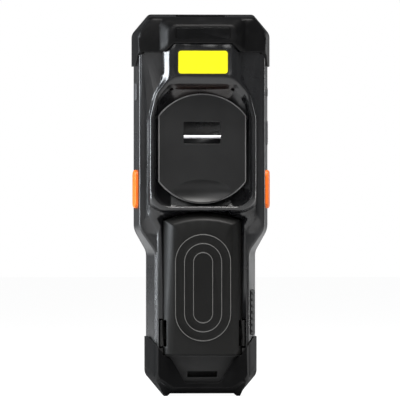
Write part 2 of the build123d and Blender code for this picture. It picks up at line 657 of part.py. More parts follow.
def bottom_bumper():
    """The rubber boot round the grip's end, with its two feet and its sunken panel."""
    form = bumper_body([
        (BOTTOM_BUMPER_HALF, BOTTOM_BUMPER_TOP + 2, 0.5),
        (BOTTOM_BUMPER_HALF, BOTTOM_CORNER, 6.0),
        (FOOT_OUT, 0.0, 0.0),
        (FOOT_IN + 1.0, 0.0, 0.0),
        (FOOT_IN - 0.5, FOOT_RISE, 0.0),
    ], 1, GRIP_DRAFT, 0.0)
    back = both_sides([
        (RAIL_HALF + 1.0, BOTTOM_BUMPER_TOP, 0.5),
        (RAIL_HALF + 1.0, 9.0, 4.0),
        (FOOT_OUT - 3.0, 2.4, 0.0),
    ])
    shrunk = both_sides([
        (RAIL_HALF - 0.6, BOTTOM_BUMPER_TOP, 0.5),
        (RAIL_HALF - 0.6, 11.4, 4.0),
        (FOOT_OUT - 5.4, 5.2, 0.0),
    ])
    form += between(back, SHOULDER_DEPTH, shrunk, BOTTOM_BACK_DEPTH)
    panel = both_sides([(PANEL_TOP_HALF + 4, PACK_BOTTOM, 0.0), (PANEL_TOP_HALF, PANEL_HIGH, 1.5),
                        (PANEL_LOW_HALF, PANEL_LOW, 2.0)])
    boot = (form & bottom_zone()) - seated_envelope() - front_window(TOP_BUMPER_HALF)
    boot -= prism(panel, PANEL_DEPTH - 0.5, TOTAL_DEPTH)
    boot = boot - strap_tunnel() - dock_window() - bay_space()
    return boot.solids().sort_by(SortBy.VOLUME)[-1]


def front_window(reach):
    """What both bumpers leave open over the front face: they keep only a lip round it."""
    lip = both_sides([
        (TOP_FLAT_HALF - 2.4, TOTAL_HEIGHT - 5.6, 3.0),
        (reach - 5.0, TOP_CORNER - 2.0, 6.0),
        (reach - 5.0, WAIST_TOP, 10.0),
        (GRIP_HALF - 3.4, WAIST_BOTTOM, 8.0),
        (GRIP_HALF - 3.4, BOTTOM_CORNER + 1.4, 4.0),
        (FOOT_OUT - 3.4, HOUSING_BOTTOM + 4.0, 2.0),
    ])
    return prism(lip, -1, FACE_DEPTH + 0.5)


def dock_window():
    """The opening in the boot under the dock contacts."""
    return Pos(0, at(DOCK_DEPTH), 2) * Box(DOCK_COUNT * DOCK_PITCH + 3.0, 5.0, 8)


# ---- badge, label, scan window ---------------------------------------------
def badge_seat():
    seat = pillow(BADGE_WIDTH + 2 * SLIP, BADGE_HEIGHT + 2 * SLIP, BADGE_RADIUS + SLIP, 0, BADGE_CENTRE)
    return prism(seat, TOTAL_DEPTH - BADGE_THICK, TOTAL_DEPTH + 1)


def badge_plate():
    """The blank badge let into the top bumper."""
    face = pillow(BADGE_WIDTH, BADGE_HEIGHT, BADGE_RADIUS, 0, BADGE_CENTRE)
    return prism(face, TOTAL_DEPTH - BADGE_THICK, TOTAL_DEPTH - BADGE_INSET)


def label_seat():
    seat = pillow(LABEL_WIDTH + 2 * SLIP, LABEL_HEIGHT + 2 * SLIP, LABEL_RADIUS + SLIP, 0, LABEL_CENTRE)
    return prism(seat, BACK_DEPTH - LABEL_THICK, BACK_DEPTH + 1)


def label_plate():
    """The bare label on the raised back."""
    face = pillow(LABEL_WIDTH, LABEL_HEIGHT, LABEL_RADIUS, 0, LABEL_CENTRE)
    return prism(face, BACK_DEPTH - LABEL_THICK, BACK_DEPTH + LABEL_PROUD)


def window_cut(width, depth):
    """An opening in the top end for the scanner."""
    centre = Pos(0, at(WINDOW_CENTRE_DEPTH), HOUSING_TOP)
    return centre * extrude(RectangleRounded(width, depth, WINDOW_RADIUS), 12, both=True)


def scan_window():
    """The tinted window over the scan engine."""
    pane = extrude(RectangleRounded(WINDOW_WIDTH, WINDOW_DEPTH, WINDOW_RADIUS), WINDOW_THICK)
    return Pos(0, at(WINDOW_CENTRE_DEPTH), HOUSING_TOP - BUMPER_SEAT) * pane


def scan_engine():
    """The barcode engine with its lens hood."""
    middle = Pos(0, at(WINDOW_CENTRE_DEPTH), ENGINE_LOW + ENGINE_HEIGHT / 2)
    body = middle * Box(ENGINE_WIDTH, ENGINE_THICK, ENGINE_HEIGHT)
    hood = Pos(0, at(WINDOW_CENTRE_DEPTH), ENGINE_LOW + ENGINE_HEIGHT)
    body += hood * Pos(-ENGINE_WIDTH / 4, 0, 0) * Cylinder(3.6, 2.4)
    body -= hood * Pos(-ENGINE_WIDTH / 4, 0, 0) * Cylinder(2.4, 3.2)
    body -= hood * Pos(ENGINE_WIDTH / 4, 0, 0) * Box(5.0, 4.0, 2.0)
    return body


# ---- grip plate ------------------------------------------------------------
def grip_plate():
    """The round plate with two flats, its scoop and the slot for a hand strap."""
    disc = Circle(PLATE_RADIUS) & Rectangle(2 * PLATE_HALF, 3 * PLATE_RADIUS)
    top = FLOOR_DEPTH + PLATE_THICK
    plate = prism(Pos(0, PLATE_CENTRE) * disc, FLOOR_DEPTH, top)
    plate = chamfer(plate.edges().filter_by_position(Axis.Y, at(top) - 0.01, at(top) + 0.01), PLATE_CHAMFER)
    plate -= scoop_form(top)
    slot = pillow(SLOT_WIDTH, SLOT_HIGH - SLOT_LOW, 0.8, 0, (SLOT_LOW + SLOT_HIGH) / 2)
    plate -= prism(slot, FLOOR_DEPTH - 1, top + 1)
    plate -= strap_bar_rod(SCREW_SLIP)
    for x, z in plate_screw_places():
        plate -= rod(x, z, SCREW_SHANK + 2 * SCREW_SLIP, FLOOR_DEPTH - 1, FLOOR_DEPTH + 2.6)
    return plate


def scoop_form(top):
    """The finger scoop: a barrel whose widest ring dips below the plate's surface."""
    ring = (SCOOP_RISE ** 2 + SCOOP_DEPTH ** 2) / (2 * SCOOP_DEPTH)
    high = ring - SCOOP_DEPTH
    belly = ThreePointArc((-SCOOP_HALF, high), (0, ring), (SCOOP_HALF, high))
    ends = Polyline((SCOOP_HALF, high), (SCOOP_HALF, 0), (-SCOOP_HALF, 0), (-SCOOP_HALF, high))
    barrel = revolve(make_face(belly + ends), Axis.X)
    return Pos(0, at(top + high), SCOOP_HEIGHT) * barrel


def strap_bar_rod(slip=0.0):
    length = SLOT_WIDTH + 2 * BAR_GRIP + 2 * slip
    axis_depth = FLOOR_DEPTH + PLATE_THICK - BAR_INSET
    return Pos(0, at(axis_depth), BAR_HEIGHT) * Rot(0, 90, 0) * Cylinder(BAR_DIAMETER / 2 + slip, length)


def strap_bar():
    """The steel bar that the hand strap loops round."""
    return strap_bar_rod()


def plate_screw_places():
    ring = PolarLocations(PLATE_SCREW_RING, 4, PLATE_SCREW_ANGLE)
    places = [location.position for location in ring]
    return [(place.X, PLATE_CENTRE + place.Y) for place in places]


# ---- battery ---------------------------------------------------------------
def pack_outline(half, low, grow=0.0):
    """The pack's footprint: straight sides, flat foot, arched top."""
    side_top = PACK_SIDE_TOP + grow
    arch = ThreePointArc((half, side_top), (0, PACK_TOP + grow), (-half, side_top))
    sides = Polyline((-half, side_top), (-half, low), (half, low), (half, side_top))
    return make_face(arch + sides)


def pack_section(half, face_half, inner, back):
    """The pack's cross-section with its two long bevels, seen from the end."""
    return make_face(Polyline(
        (-half, at(inner)), (-half, at(PACK_BEVEL_DEPTH)), (-face_half, at(back)),
        (face_half, at(back)), (half, at(PACK_BEVEL_DEPTH)), (half, at(inner)), close=True,
    ))


def battery_shell():
    """The outer shell of the battery pack, with its three oval ridges."""
    run = extrude(Plane.XY.offset(PACK_BOTTOM) * pack_section(PACK_HALF, PACK_FACE_HALF, PACK_SPLIT_DEPTH,
                                                             BACK_DEPTH), PACK_TOP)
    body = run & prism(pack_outline(PACK_HALF, PACK_BOTTOM), PACK_SPLIT_DEPTH, BACK_DEPTH)
    top_arc = body.faces().sort_by(Axis.Y)[0].edges().sort_by(Axis.Z)[-1]
    body = chamfer(top_arc, END_BEVEL)
    inside = extrude(
        Plane.XY.offset(PACK_BOTTOM + PACK_WALL) * pack_section(
            PACK_HALF - PACK_WALL, PACK_FACE_HALF - 0.5, PACK_SPLIT_DEPTH - 1, BACK_DEPTH - PACK_WALL),
        PACK_SIDE_TOP - PACK_BOTTOM - PACK_WALL - END_BEVEL)
    body -= inside
    for row in range(RIDGE_COUNT):
        radius = RIDGE_RADIUS - row * RIDGE_STEP
        outer = SlotCenterToCenter(RIDGE_STRAIGHT, 2 * radius + RIDGE_WIDTH, rotation=90)
        inner = SlotCenterToCenter(RIDGE_STRAIGHT, 2 * radius - RIDGE_WIDTH, rotation=90)
        body += prism(Pos(0, RIDGE_CENTRE) * (outer - inner), BACK_DEPTH, BACK_DEPTH + RIDGE_RISE)
    for side in (-1, 1):
        body = body + latch_guide(side) - latch_pocket(side)
    body -= pack_foot_relief()
    return body.solids().sort_by(SortBy.VOLUME)[-1]


def pack_foot_relief():
    """The rake on the pack's lower end that lets it swing out past the bay's end wall."""
    profile = make_face(Polyline(
        (at(PACK_BEVEL_DEPTH), PACK_BOTTOM), (at(PACK_SPLIT_DEPTH - 1), PACK_BOTTOM + FOOT_RAKE),
        (at(PACK_SPLIT_DEPTH - 1), PACK_BOTTOM - 2), (at(PACK_BEVEL_DEPTH), PACK_BOTTOM - 2), close=True,
    ))
    return extrude(Plane.YZ * profile, 60, both=True)


def battery_base():
    """The inner tray of the pack, with the two tongues that hook under the crest."""
    half = PACK_HALF - 0.4
    low = PACK_BOTTOM + PACK_LIFT
    tray = prism(pack_outline(half, low, -0.4), PACK_INNER_DEPTH, PACK_SPLIT_DEPTH)
    tray -= block(half - PACK_WALL, low + PACK_WALL, PACK_SIDE_TOP - 3.0, PACK_INNER_DEPTH + PACK_WALL, 30)
    for side in (-1, 1):
        tray += block(TONGUE_WIDTH / 2, PACK_SIDE_TOP - 1, PACK_TOP + TONGUE_REACH - 0.6,
                      PACK_SPLIT_DEPTH - TONGUE_THICK, PACK_SPLIT_DEPTH, side * TONGUE_SPACING / 2)
    tray -= contact_pad_cut()
    return tray.solids().sort_by(SortBy.VOLUME)[-1]


def battery_cell():
    """The flat lithium cell."""
    half = PACK_HALF - PACK_WALL - 1.4
    front = PACK_INNER_DEPTH + PACK_WALL
    cell = block(half, LATCH_HIGH + 4.0, PACK_SIDE_TOP - 6.0, front, PACK_BEVEL_DEPTH - 0.6)
    return fillet(cell.edges().filter_by(Axis.Z), CELL_ROUND)


def contact_pad_cut():
    low = CONTACT_LOW - 0.4
    return block(contact_reach(0.7), low, low + CONTACT_SIZE[1] + 0.8, 0, PACK_INNER_DEPTH + 0.5)


def contact_places():
    return [(column - (CONTACT_COUNT - 1) / 2) * CONTACT_PITCH for column in range(CONTACT_COUNT)]


def contact_reach(margin):
    """Half the width of the row of contacts, with a margin."""
    return contact_places()[-1] + CONTACT_SIZE[0] / 2 + margin


def battery_contacts():
    """Four flat contacts let into the pack's inner face."""
    return Compound(children=[
        block(CONTACT_SIZE[0] / 2, CONTACT_LOW, CONTACT_LOW + CONTACT_SIZE[1],
              PACK_INNER_DEPTH + 0.1, PACK_INNER_DEPTH + 0.5, x) for x in contact_places()])


def contact_seat():
    return block(contact_reach(1.7), CONTACT_LOW - 1.4, CONTACT_LOW + CONTACT_SIZE[1] + 1.4,
                 PARTING_DEPTH, BAY_FLOOR_DEPTH + 0.1)


def contact_block():
    """The sprung contact block in the bay's floor."""
    body = block(contact_reach(1.5), CONTACT_LOW - 1.2, CONTACT_LOW + CONTACT_SIZE[1] + 1.2,
                 BAY_FLOOR_DEPTH - 2.6, BAY_FLOOR_DEPTH)
    for x in contact_places():
        body += block(0.7, CONTACT_LOW + 1.6, CONTACT_LOW + 3.6, BAY_FLOOR_DEPTH, PACK_INNER_DEPTH - 0.1, x)
    return body


# ---- latches ---------------------------------------------------------------
def latch_guide(side):
    """The pocket wall inside the shell that a latch runs in."""
    inner = PACK_HALF - LATCH_TRAVEL - STEM_LENGTH - 2 * GUIDE_WALL
    return block((PACK_HALF - inner - 0.3) / 2, LATCH_LOW - GUIDE_WALL, LATCH_HIGH + GUIDE_WALL,
                 LATCH_FRONT - GUIDE_WALL, LATCH_BACK - 0.2, side * (PACK_HALF - 0.3 + inner) / 2)


def latch_pocket(side):
    """The space that a latch's tab and stem move in."""
    low = PACK_HALF - LATCH_TRAVEL - SLIP
    tab_room = block((PACK_HALF + 2 - low) / 2, LATCH_LOW - SLIP, LATCH_HIGH + SLIP,
                     LATCH_FRONT - SLIP, BACK_DEPTH, side * (PACK_HALF + 2 + low) / 2)
    middle = (LATCH_LOW + LATCH_HIGH) / 2
    depth = (LATCH_FRONT + LATCH_BACK) / 2
    deep = low - STEM_LENGTH - 0.2
    stem_room = block((low - deep) / 2, middle - STEM_HEIGHT / 2 - SLIP, middle + STEM_HEIGHT / 2 + SLIP,
                      depth - STEM_THICK / 2 - SLIP, depth + STEM_THICK / 2 + SLIP, side * (low + deep) / 2)
    return tab_room + stem_room


def latch(side):
    """A battery latch: a tab in the notch and a stem that runs in the pack's side."""
    middle = (LATCH_LOW + LATCH_HIGH) / 2
    depth = (LATCH_FRONT + LATCH_BACK) / 2
    tab = block((LATCH_OUT - PACK_HALF) / 2, LATCH_LOW, LATCH_HIGH, LATCH_FRONT, LATCH_BACK,
                (LATCH_OUT + PACK_HALF) / 2)
    edge = tab.edges().filter_by(Axis.Z).group_by(Axis.Y)[0].sort_by(Axis.X)[-1]
    tab = chamfer(edge, 0.7)
    tip = PACK_HALF - STEM_LENGTH
    stem = block((PACK_HALF + 1 - tip) / 2, middle - STEM_HEIGHT / 2, middle + STEM_HEIGHT / 2,
                 depth - STEM_THICK / 2, depth + STEM_THICK / 2, (PACK_HALF + 1 + tip) / 2)
    whole = tab + stem
    return whole if side > 0 else mirror(whole, about=Plane.YZ)


# ---- side keys -------------------------------------------------------------
def flank_plane(height, depth, half, draft):
    """A plane on the sloping flank of the right side, with x up and z outwards."""
    slope = draft / FLANK_DEPTH
    x = half - slope * (depth - PARTING_DEPTH)
    normal = Vector(1, -slope, 0).normalized()
    return Plane(origin=(x, at(depth), height), x_dir=(0, 0, 1), z_dir=normal)


def side_key(side, height, length, depth, width, proud):
    """A key through the flank, with its retaining flange behind the wall."""
    plane = flank_plane(height, depth, HEAD_HALF, HEAD_DRAFT)
    radius = min(width, length) / 2 - 0.6
    reach = WALL + 0.25 + FLANGE_THICK
    cap = extrude(plane.offset(-reach) * RectangleRounded(length, width, radius), reach + proud)
    crown = cap.faces().sort_by(Axis.X)[-1]
    cap = chamfer(crown.edges(), min(0.6, proud * 0.6))
    flange = RectangleRounded(length + 2 * FLANGE_MARGIN, width + 2 * FLANGE_MARGIN, radius)
    cap += extrude(plane.offset(-reach) * flange, FLANGE_THICK)
    return cap if side > 0 else mirror(cap, about=Plane.YZ)


def side_key_window(side, height, length, depth, width):
    """The opening in the flank that a side key runs in."""
    plane = flank_plane(height, depth, HEAD_HALF, HEAD_DRAFT)
    radius = min(width, length) / 2 - 0.6 + KEY_GAP
    face = RectangleRounded(length + 2 * KEY_GAP, width + 2 * KEY_GAP, radius)
    window = extrude(plane.offset(-WALL - 1.0) * face, WALL + 4)
    return window if side > 0 else mirror(window, about=Plane.YZ)


SIDE_KEYS = {
    "trigger_left": (-1, TRIGGER_CENTRE, TRIGGER_LENGTH, TRIGGER_DEPTH, TRIGGER_HEIGHT, TRIGGER_PROUD),
    "trigger_right": (1, TRIGGER_CENTRE, TRIGGER_LENGTH, TRIGGER_DEPTH, TRIGGER_HEIGHT, TRIGGER_PROUD),
    "volume_rocker": (1, ROCKER_CENTRE, ROCKER_LENGTH, SMALL_KEY_DEPTH, SMALL_KEY_HEIGHT, SMALL_KEY_PROUD),
    "side_key_right": (1, RIGHT_KEY_CENTRE, RIGHT_KEY_LENGTH, SMALL_KEY_DEPTH, SMALL_KEY_HEIGHT,
                       SMALL_KEY_PROUD),
    "side_key_left": (-1, LEFT_KEY_CENTRE, LEFT_KEY_LENGTH, SMALL_KEY_DEPTH, SMALL_KEY_HEIGHT,
                      SMALL_KEY_PROUD),
}


def side_key_windows():
    return [side_key_window(side, height, length, depth, width)
            for side, height, length, depth, width, proud in SIDE_KEYS.values()]


# ---- port flap -------------------------------------------------------------
def flap_plane():
    return flank_plane((FLAP_LOW + FLAP_HIGH) / 2, FLAP_DEPTH, GRIP_HALF, GRIP_DRAFT)


def flap_pocket():
    length = FLAP_HIGH - FLAP_LOW + 2 * CLEARANCE
    seat = RectangleRounded(length, FLAP_HEIGHT + 2 * CLEARANCE, FLAP_RADIUS)
    return extrude(flap_plane().offset(FLAP_PROUD - FLAP_THICK - SLIP) * seat, FLAP_THICK + 6)


def port_flap():
    """The ribbed rubber flap over the connector, hinged along its front edge."""
    length = FLAP_HIGH - FLAP_LOW
    plane = flap_plane()
    flap = extrude(plane.offset(FLAP_PROUD - FLAP_THICK) * RectangleRounded(length, FLAP_HEIGHT, FLAP_RADIUS),
                   FLAP_THICK)
    pitch = (length - 4.0) / (FLAP_RIBS - 1)
    for row in range(FLAP_RIBS):
        place = plane.offset(FLAP_PROUD) * Pos((row - (FLAP_RIBS - 1) / 2) * pitch, 0)
        flap += extrude(place * Rectangle(FLAP_RIB_WIDTH, FLAP_HEIGHT - 2.6), FLAP_RIB_RISE)
    return flap


def port_pocket():
    seat = RectangleRounded(PORT_WIDTH + 2 * SLIP, PORT_HEIGHT + 2 * SLIP, 1.2)
    return extrude(flap_plane().offset(FLAP_PROUD - FLAP_THICK - PORT_LENGTH - SLIP) * seat, PORT_LENGTH + 1)


def io_connector():
    """The charging and data socket behind the flap."""
    plane = flap_plane().offset(FLAP_PROUD - FLAP_THICK - PORT_LENGTH - SLIP)
    body = extrude(plane * RectangleRounded(PORT_WIDTH, PORT_HEIGHT, 1.1), PORT_LENGTH)
    body -= extrude(plane.offset(0.6) * RectangleRounded(PORT_WIDTH - 1.0, PORT_HEIGHT - 1.0, 0.9), PORT_LENGTH)
    body += extrude(plane.offset(0.5) * Rectangle(PORT_WIDTH - 2.6, 0.8), PORT_LENGTH - 0.9)
    return body


# ---- front housing ---------------------------------------------------------
def keys():
    """Every key of the keypad: name to (x, z, width, height, corner radius)."""
    table = {}
    for row in range(DIGIT_ROWS):
        for column in range(DIGIT_COLUMNS):
            name = f"digit_key_{row * DIGIT_COLUMNS + column + 1:02d}"
            x = (column - (DIGIT_COLUMNS - 1) / 2) * DIGIT_PITCH_X
            table[name] = (-x, DIGIT_TOP - row * DIGIT_PITCH_Z, *DIGIT_SIZE, KEY_CORNER)
    for column in range(FUNCTION_COUNT):
        x = (column - (FUNCTION_COUNT - 1) / 2) * FUNCTION_PITCH
        table[f"function_key_{column + 1}"] = (-x, FUNCTION_HEIGHT, *FUNCTION_SIZE, KEY_CORNER)
    for column, name in enumerate(LOW_KEYS):
        x = (column - (len(LOW_KEYS) - 1) / 2) * LOW_KEY_PITCH
        table[f"{name}_key"] = (-x, LOW_KEY_HEIGHT, *LOW_KEY_SIZE, KEY_CORNER)
    table["scan_key"] = (0.0, SCAN_KEY_HEIGHT, *SCAN_KEY_SIZE, SCAN_KEY_SIZE[1] / 2 - 0.1)
    table["call_key"] = (CALL_KEY_OFFSET, SCAN_KEY_HEIGHT, *CALL_KEY_SIZE, KEY_CORNER)
    table["end_key"] = (-CALL_KEY_OFFSET, SCAN_KEY_HEIGHT, *CALL_KEY_SIZE, KEY_CORNER)
    return table


def key_cap(x, z, width, height, radius):
    """One key cap with its retaining flange behind the face."""
    flange_top = FACE_DEPTH + WALL + SLIP
    cap = prism(pillow(width, height, radius, x, z), FACE_DEPTH - KEY_PROUD, flange_top + KEY_FLANGE)
    margin = 2 * KEY_FLANGE_MARGIN
    flange = Pos(x, z) * Rectangle(width + margin, height + margin)
    return cap + prism(flange, flange_top, flange_top + KEY_FLANGE)


def mat_front():
    """Depth of the key mat's front face: the keys' travel fits above its domes."""
    return FACE_DEPTH + WALL + SLIP + KEY_FLANGE + KEY_TRAVEL + 0.1 + DOME_RISE


def key_mat():
    """The silicone mat with one dome under each key."""
    front = mat_front()
    outline = pillow(2 * MAT_HALF, MAT_HIGH - MAT_LOW, 3, 0, (MAT_LOW + MAT_HIGH) / 2)
    mat = prism(outline, front, front + MAT_THICK)
    for x, z, width, height, radius in keys().values():
        mat += prism(Pos(x, z) * RegularPolygon(DOME_DIAMETER / 2, 8), front - DOME_RISE, front)
    return mat


def keypad_board():
    """The keypad's circuit board, behind the mat."""
    front = mat_front() + MAT_THICK
    half = GRIP_HALF - WALL - BUMPER_SEAT - CLEARANCE
    outline = pillow(2 * half, MAT_HIGH - MAT_LOW, 3, 0, (MAT_LOW + MAT_HIGH) / 2)
    board = prism(outline, front, front + BOARD_THICK)
    for bore in pad_posts(SCREW_SHANK + 0.4, 0, TOTAL_DEPTH):
        board -= bore
    return board


def pad_posts(diameter, front, back):
    posts = [rod(side * PAD_POST_X, height, diameter, front, back)
             for side in (-1, 1) for height in (PAD_POST_LOW, PAD_POST_HIGH)]
    return posts


def main_posts(diameter, front, back):
    posts = [rod(side * MAIN_POST_X, height, diameter, front, back)
             for side in (-1, 1) for height in (MAIN_POST_LOW, MAIN_POST_HIGH)]
    return posts


def front_housing():
    """The front shell with its display seat, key openings and screw posts."""
    back = PARTING_DEPTH - SEAL_THICK / 2
    shell = prism(side_outline(HEAD_HALF, GRIP_HALF), FACE_DEPTH, back)
    shell = round_off(shell, FACE_DEPTH, FRONT_ROUND)
    hollow = prism(hollow_outline(HEAD_HALF - WALL, GRIP_HALF - WALL), FACE_DEPTH + WALL, back + 1)
    shell = shell - bumper_seats() - hollow
    middle = (GLASS_LOW + GLASS_HIGH) / 2
    seat = pillow(GLASS_WIDTH + 2 * SLIP, GLASS_HIGH - GLASS_LOW + 2 * SLIP, GLASS_RADIUS, 0, middle)
    shell -= prism(seat, 0, FACE_DEPTH + GLASS_THICK)
    shell -= prism(pillow(SCREEN_WIDTH, SCREEN_HIGH - SCREEN_LOW, 1, 0, (SCREEN_LOW + SCREEN_HIGH) / 2), 0, 5)
    for x, z, width, height, radius in keys().values():
        shell -= prism(pillow(width + 2 * KEY_GAP, height + 2 * KEY_GAP, radius + KEY_GAP, x, z), 0, 5)
    inner = FACE_DEPTH + WALL
    for post in main_posts(POST_DIAMETER, inner - 0.2, MAIN_BOARD_DEPTH):
        shell += post
    for post in pad_posts(PAD_POST_DIAMETER, inner - 0.2, mat_front() + MAT_THICK):
        shell += post
    for side in (-1, 1):
        shell += rod(side * BAY_SCREW_X, BAY_SCREW_HEIGHT, POST_DIAMETER, inner - 0.2, back)
    for bore in main_posts(SCREW_SHANK + 2 * SCREW_SLIP, inner + 0.6, back):
        shell -= bore
    for bore in pad_posts(SCREW_SHANK + 2 * SCREW_SLIP, inner + 0.6, back):
        shell -= bore
    for side in (-1, 1):
        shell -= rod(side * BAY_SCREW_X, BAY_SCREW_HEIGHT, SCREW_SHANK + 2 * SCREW_SLIP, inner + 0.6, back)
    for row in range(SPEAKER_SLOTS):
        height = SPEAKER_HEIGHT + (row - (SPEAKER_SLOTS - 1) / 2) * SPEAKER_SLOT_PITCH
        slot = pillow(9.0, 0.9, 0.4, 0, height)
        shell -= prism(slot, 0, 5)
    return shell.solids().sort_by(SortBy.VOLUME)[-1]


def housing_seal():
    """The gasket between the two housings."""
    front = PARTING_DEPTH - SEAL_THICK / 2
    outer = hollow_outline(HEAD_HALF - WALL, GRIP_HALF - WALL, SEAL_WIDTH)
    inner = hollow_outline(HEAD_HALF - WALL, GRIP_HALF - WALL)
    return prism(outer, front, front + SEAL_THICK) - prism(inner, front - 1, front + 2)


def touch_glass():
    """The touch panel let into the front face."""
    middle = (GLASS_LOW + GLASS_HIGH) / 2
    return prism(pillow(GLASS_WIDTH, GLASS_HIGH - GLASS_LOW, GLASS_RADIUS, 0, middle),
                 FACE_DEPTH, FACE_DEPTH + GLASS_THICK)


def screen_frame(margin, front, back):
    width = SCREEN_WIDTH + 2 * margin
    height = SCREEN_HIGH - SCREEN_LOW + 2 * margin
    return prism(pillow(width, height, 1, 0, (SCREEN_LOW + SCREEN_HIGH) / 2), front, back)


def display_gasket():
    """The foam frame between the display and the housing."""
    front = FACE_DEPTH + WALL
    return screen_frame(GASKET_WIDTH, front, front + GASKET_THICK) - screen_frame(0, 0, 20)


def lcd_module():
    """The display module behind the touch glass."""
    front = FACE_DEPTH + WALL + GASKET_THICK
    module = screen_frame(GASKET_WIDTH, front, front + SCREEN_THICK)
    return module


def main_board():
    """The main circuit board with its shield cans."""
    board = block(MAIN_BOARD_HALF, MAIN_BOARD_LOW, MAIN_BOARD_HIGH, MAIN_BOARD_DEPTH,
                  MAIN_BOARD_DEPTH + BOARD_THICK)
    back = MAIN_BOARD_DEPTH + BOARD_THICK
    for low in (MAIN_BOARD_LOW + CAN_MARGIN, MAIN_BOARD_HIGH - CAN_MARGIN - CAN_HEIGHT):
        board += block(CAN_HALF, low, low + CAN_HEIGHT, back, back + CAN_THICK)
    for bore in main_posts(SCREW_SHANK + 0.4, 0, TOTAL_DEPTH):
        board -= bore
    return board


def speaker():
    """The loudspeaker behind its slots."""
    front = FACE_DEPTH + WALL
    body = rod(0, SPEAKER_HEIGHT, SPEAKER_DIAMETER, front, front + SPEAKER_THICK)
    return body


# ---- screws and contacts ---------------------------------------------------
def screw(x, z, seat, length, towards_front=True):
    """A pan-head screw whose head rests on a seat depth."""
    turn = 1 if towards_front else -1
    head = sorted((seat, seat + turn * SCREW_HEAD_THICK))
    shank = sorted((seat, seat - turn * length))
    body = rod(x, z, SCREW_HEAD, *head) + rod(x, z, SCREW_SHANK, *shank)
    socket = sorted((seat + turn * (SCREW_HEAD_THICK - SOCKET_DEPTH), seat + turn * 2))
    return body - prism(Pos(x, z) * RegularPolygon(SOCKET_RADIUS, 6), *socket)


def housing_screws():
    """The two screws in the bay's floor that hold the housings together."""
    seat = BAY_FLOOR_DEPTH - SCREW_HEAD_THICK - 0.1
    return Compound(children=[screw(side * BAY_SCREW_X, BAY_SCREW_HEIGHT, seat, BAY_SCREW_LENGTH)
                              for side in (-1, 1)])


def board_screws():
    """The screws that hold the two circuit boards to the front shell."""
    main_seat = MAIN_BOARD_DEPTH + BOARD_THICK
    pad_seat = mat_front() + MAT_THICK + BOARD_THICK
    body = [screw(side * MAIN_POST_X, height, main_seat, MAIN_SCREW_LENGTH)
            for side in (-1, 1) for height in (MAIN_POST_LOW, MAIN_POST_HIGH)]
    body += [screw(side * PAD_POST_X, height, pad_seat, PAD_SCREW_LENGTH)
             for side in (-1, 1) for height in (PAD_POST_LOW, PAD_POST_HIGH)]
    return Compound(children=body)


def plate_screws():
    """The screws that hold the grip plate, put in from inside the housing."""
    seat = FLOOR_DEPTH - WALL
    return Compound(children=[screw(x, z, seat, PLATE_SCREW_LENGTH, False) for x, z in plate_screw_places()])


def dock_contacts():
    """Five flat contacts in the foot, for a charging cradle."""
    columns = [column - (DOCK_COUNT - 1) / 2 for column in range(DOCK_COUNT)]
    return Compound(children=[Pos(column * DOCK_PITCH, at(DOCK_DEPTH), HOUSING_BOTTOM) * Box(2.0, 3.4, 0.8)
                              for column in columns])


NODES = {
    "front_housing": front_housing,
    "rear_housing": rear_housing,
    "housing_seal": housing_seal,
    "top_bumper": top_bumper,
    "bottom_bumper": bottom_bumper,
    "scan_window": scan_window,
    "badge_plate": badge_plate,
    "label_plate": label_plate,
    "touch_glass": touch_glass,
    "display_gasket": display_gasket,
    "lcd_module": lcd_module,
    "key_mat": key_mat,
    "keypad_board": keypad_board,
    "main_board": main_board,
    "speaker": speaker,
    "scan_engine": scan_engine,
    "grip_plate": grip_plate,
    "strap_bar": strap_bar,
    "battery_shell": battery_shell,
    "battery_base": battery_base,
    "battery_cell": battery_cell,
    "battery_contacts": battery_contacts,
    "contact_block": contact_block,
    "port_flap": port_flap,
    "io_connector": io_connector,
    "housing_screws": housing_screws,
    "board_screws": board_screws,
    "plate_screws": plate_screws,
    "dock_contacts": dock_contacts,
}


def main():
    os.makedirs("parts", exist_ok=True)
    for node, make in NODES.items():
        save(node, make())
    save("latch_left", latch(-1))
    save("latch_right", latch(1))
    for node, values in SIDE_KEYS.items():
        save(node, side_key(*values))
    for node, values in keys().items():
        save(node, key_cap(*values))


if __name__ == "__main__":
    main()
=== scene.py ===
import json
import math

import bmesh
import bpy
from bpy.props import FloatProperty, FloatVectorProperty, IntProperty, PointerProperty
from mathutils import Matrix, Vector


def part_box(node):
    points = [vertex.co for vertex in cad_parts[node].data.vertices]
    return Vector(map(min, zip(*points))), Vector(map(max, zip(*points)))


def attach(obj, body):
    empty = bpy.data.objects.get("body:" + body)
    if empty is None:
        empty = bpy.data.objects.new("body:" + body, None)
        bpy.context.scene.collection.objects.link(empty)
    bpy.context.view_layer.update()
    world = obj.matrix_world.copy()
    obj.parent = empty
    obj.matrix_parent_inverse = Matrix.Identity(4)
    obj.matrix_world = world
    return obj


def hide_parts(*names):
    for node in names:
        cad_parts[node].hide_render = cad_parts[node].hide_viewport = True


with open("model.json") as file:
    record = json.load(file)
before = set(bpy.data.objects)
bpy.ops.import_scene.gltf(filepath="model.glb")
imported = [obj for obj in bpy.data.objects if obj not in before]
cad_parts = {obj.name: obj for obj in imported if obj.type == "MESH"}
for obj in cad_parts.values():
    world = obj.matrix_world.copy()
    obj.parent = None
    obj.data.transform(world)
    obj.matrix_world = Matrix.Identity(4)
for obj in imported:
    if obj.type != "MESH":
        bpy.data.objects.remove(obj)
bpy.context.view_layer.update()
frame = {"nodes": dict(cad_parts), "record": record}

bl_info = {
    "name": "Data Terminal Dresser",
    "version": (1, 0, 0),
    "blender": (4, 5, 0),
    "location": "View3D > Sidebar > Terminal",
    "description": "Finishes the shells, bumpers, battery and keys of a rugged data terminal",
    "category": "Object",
}

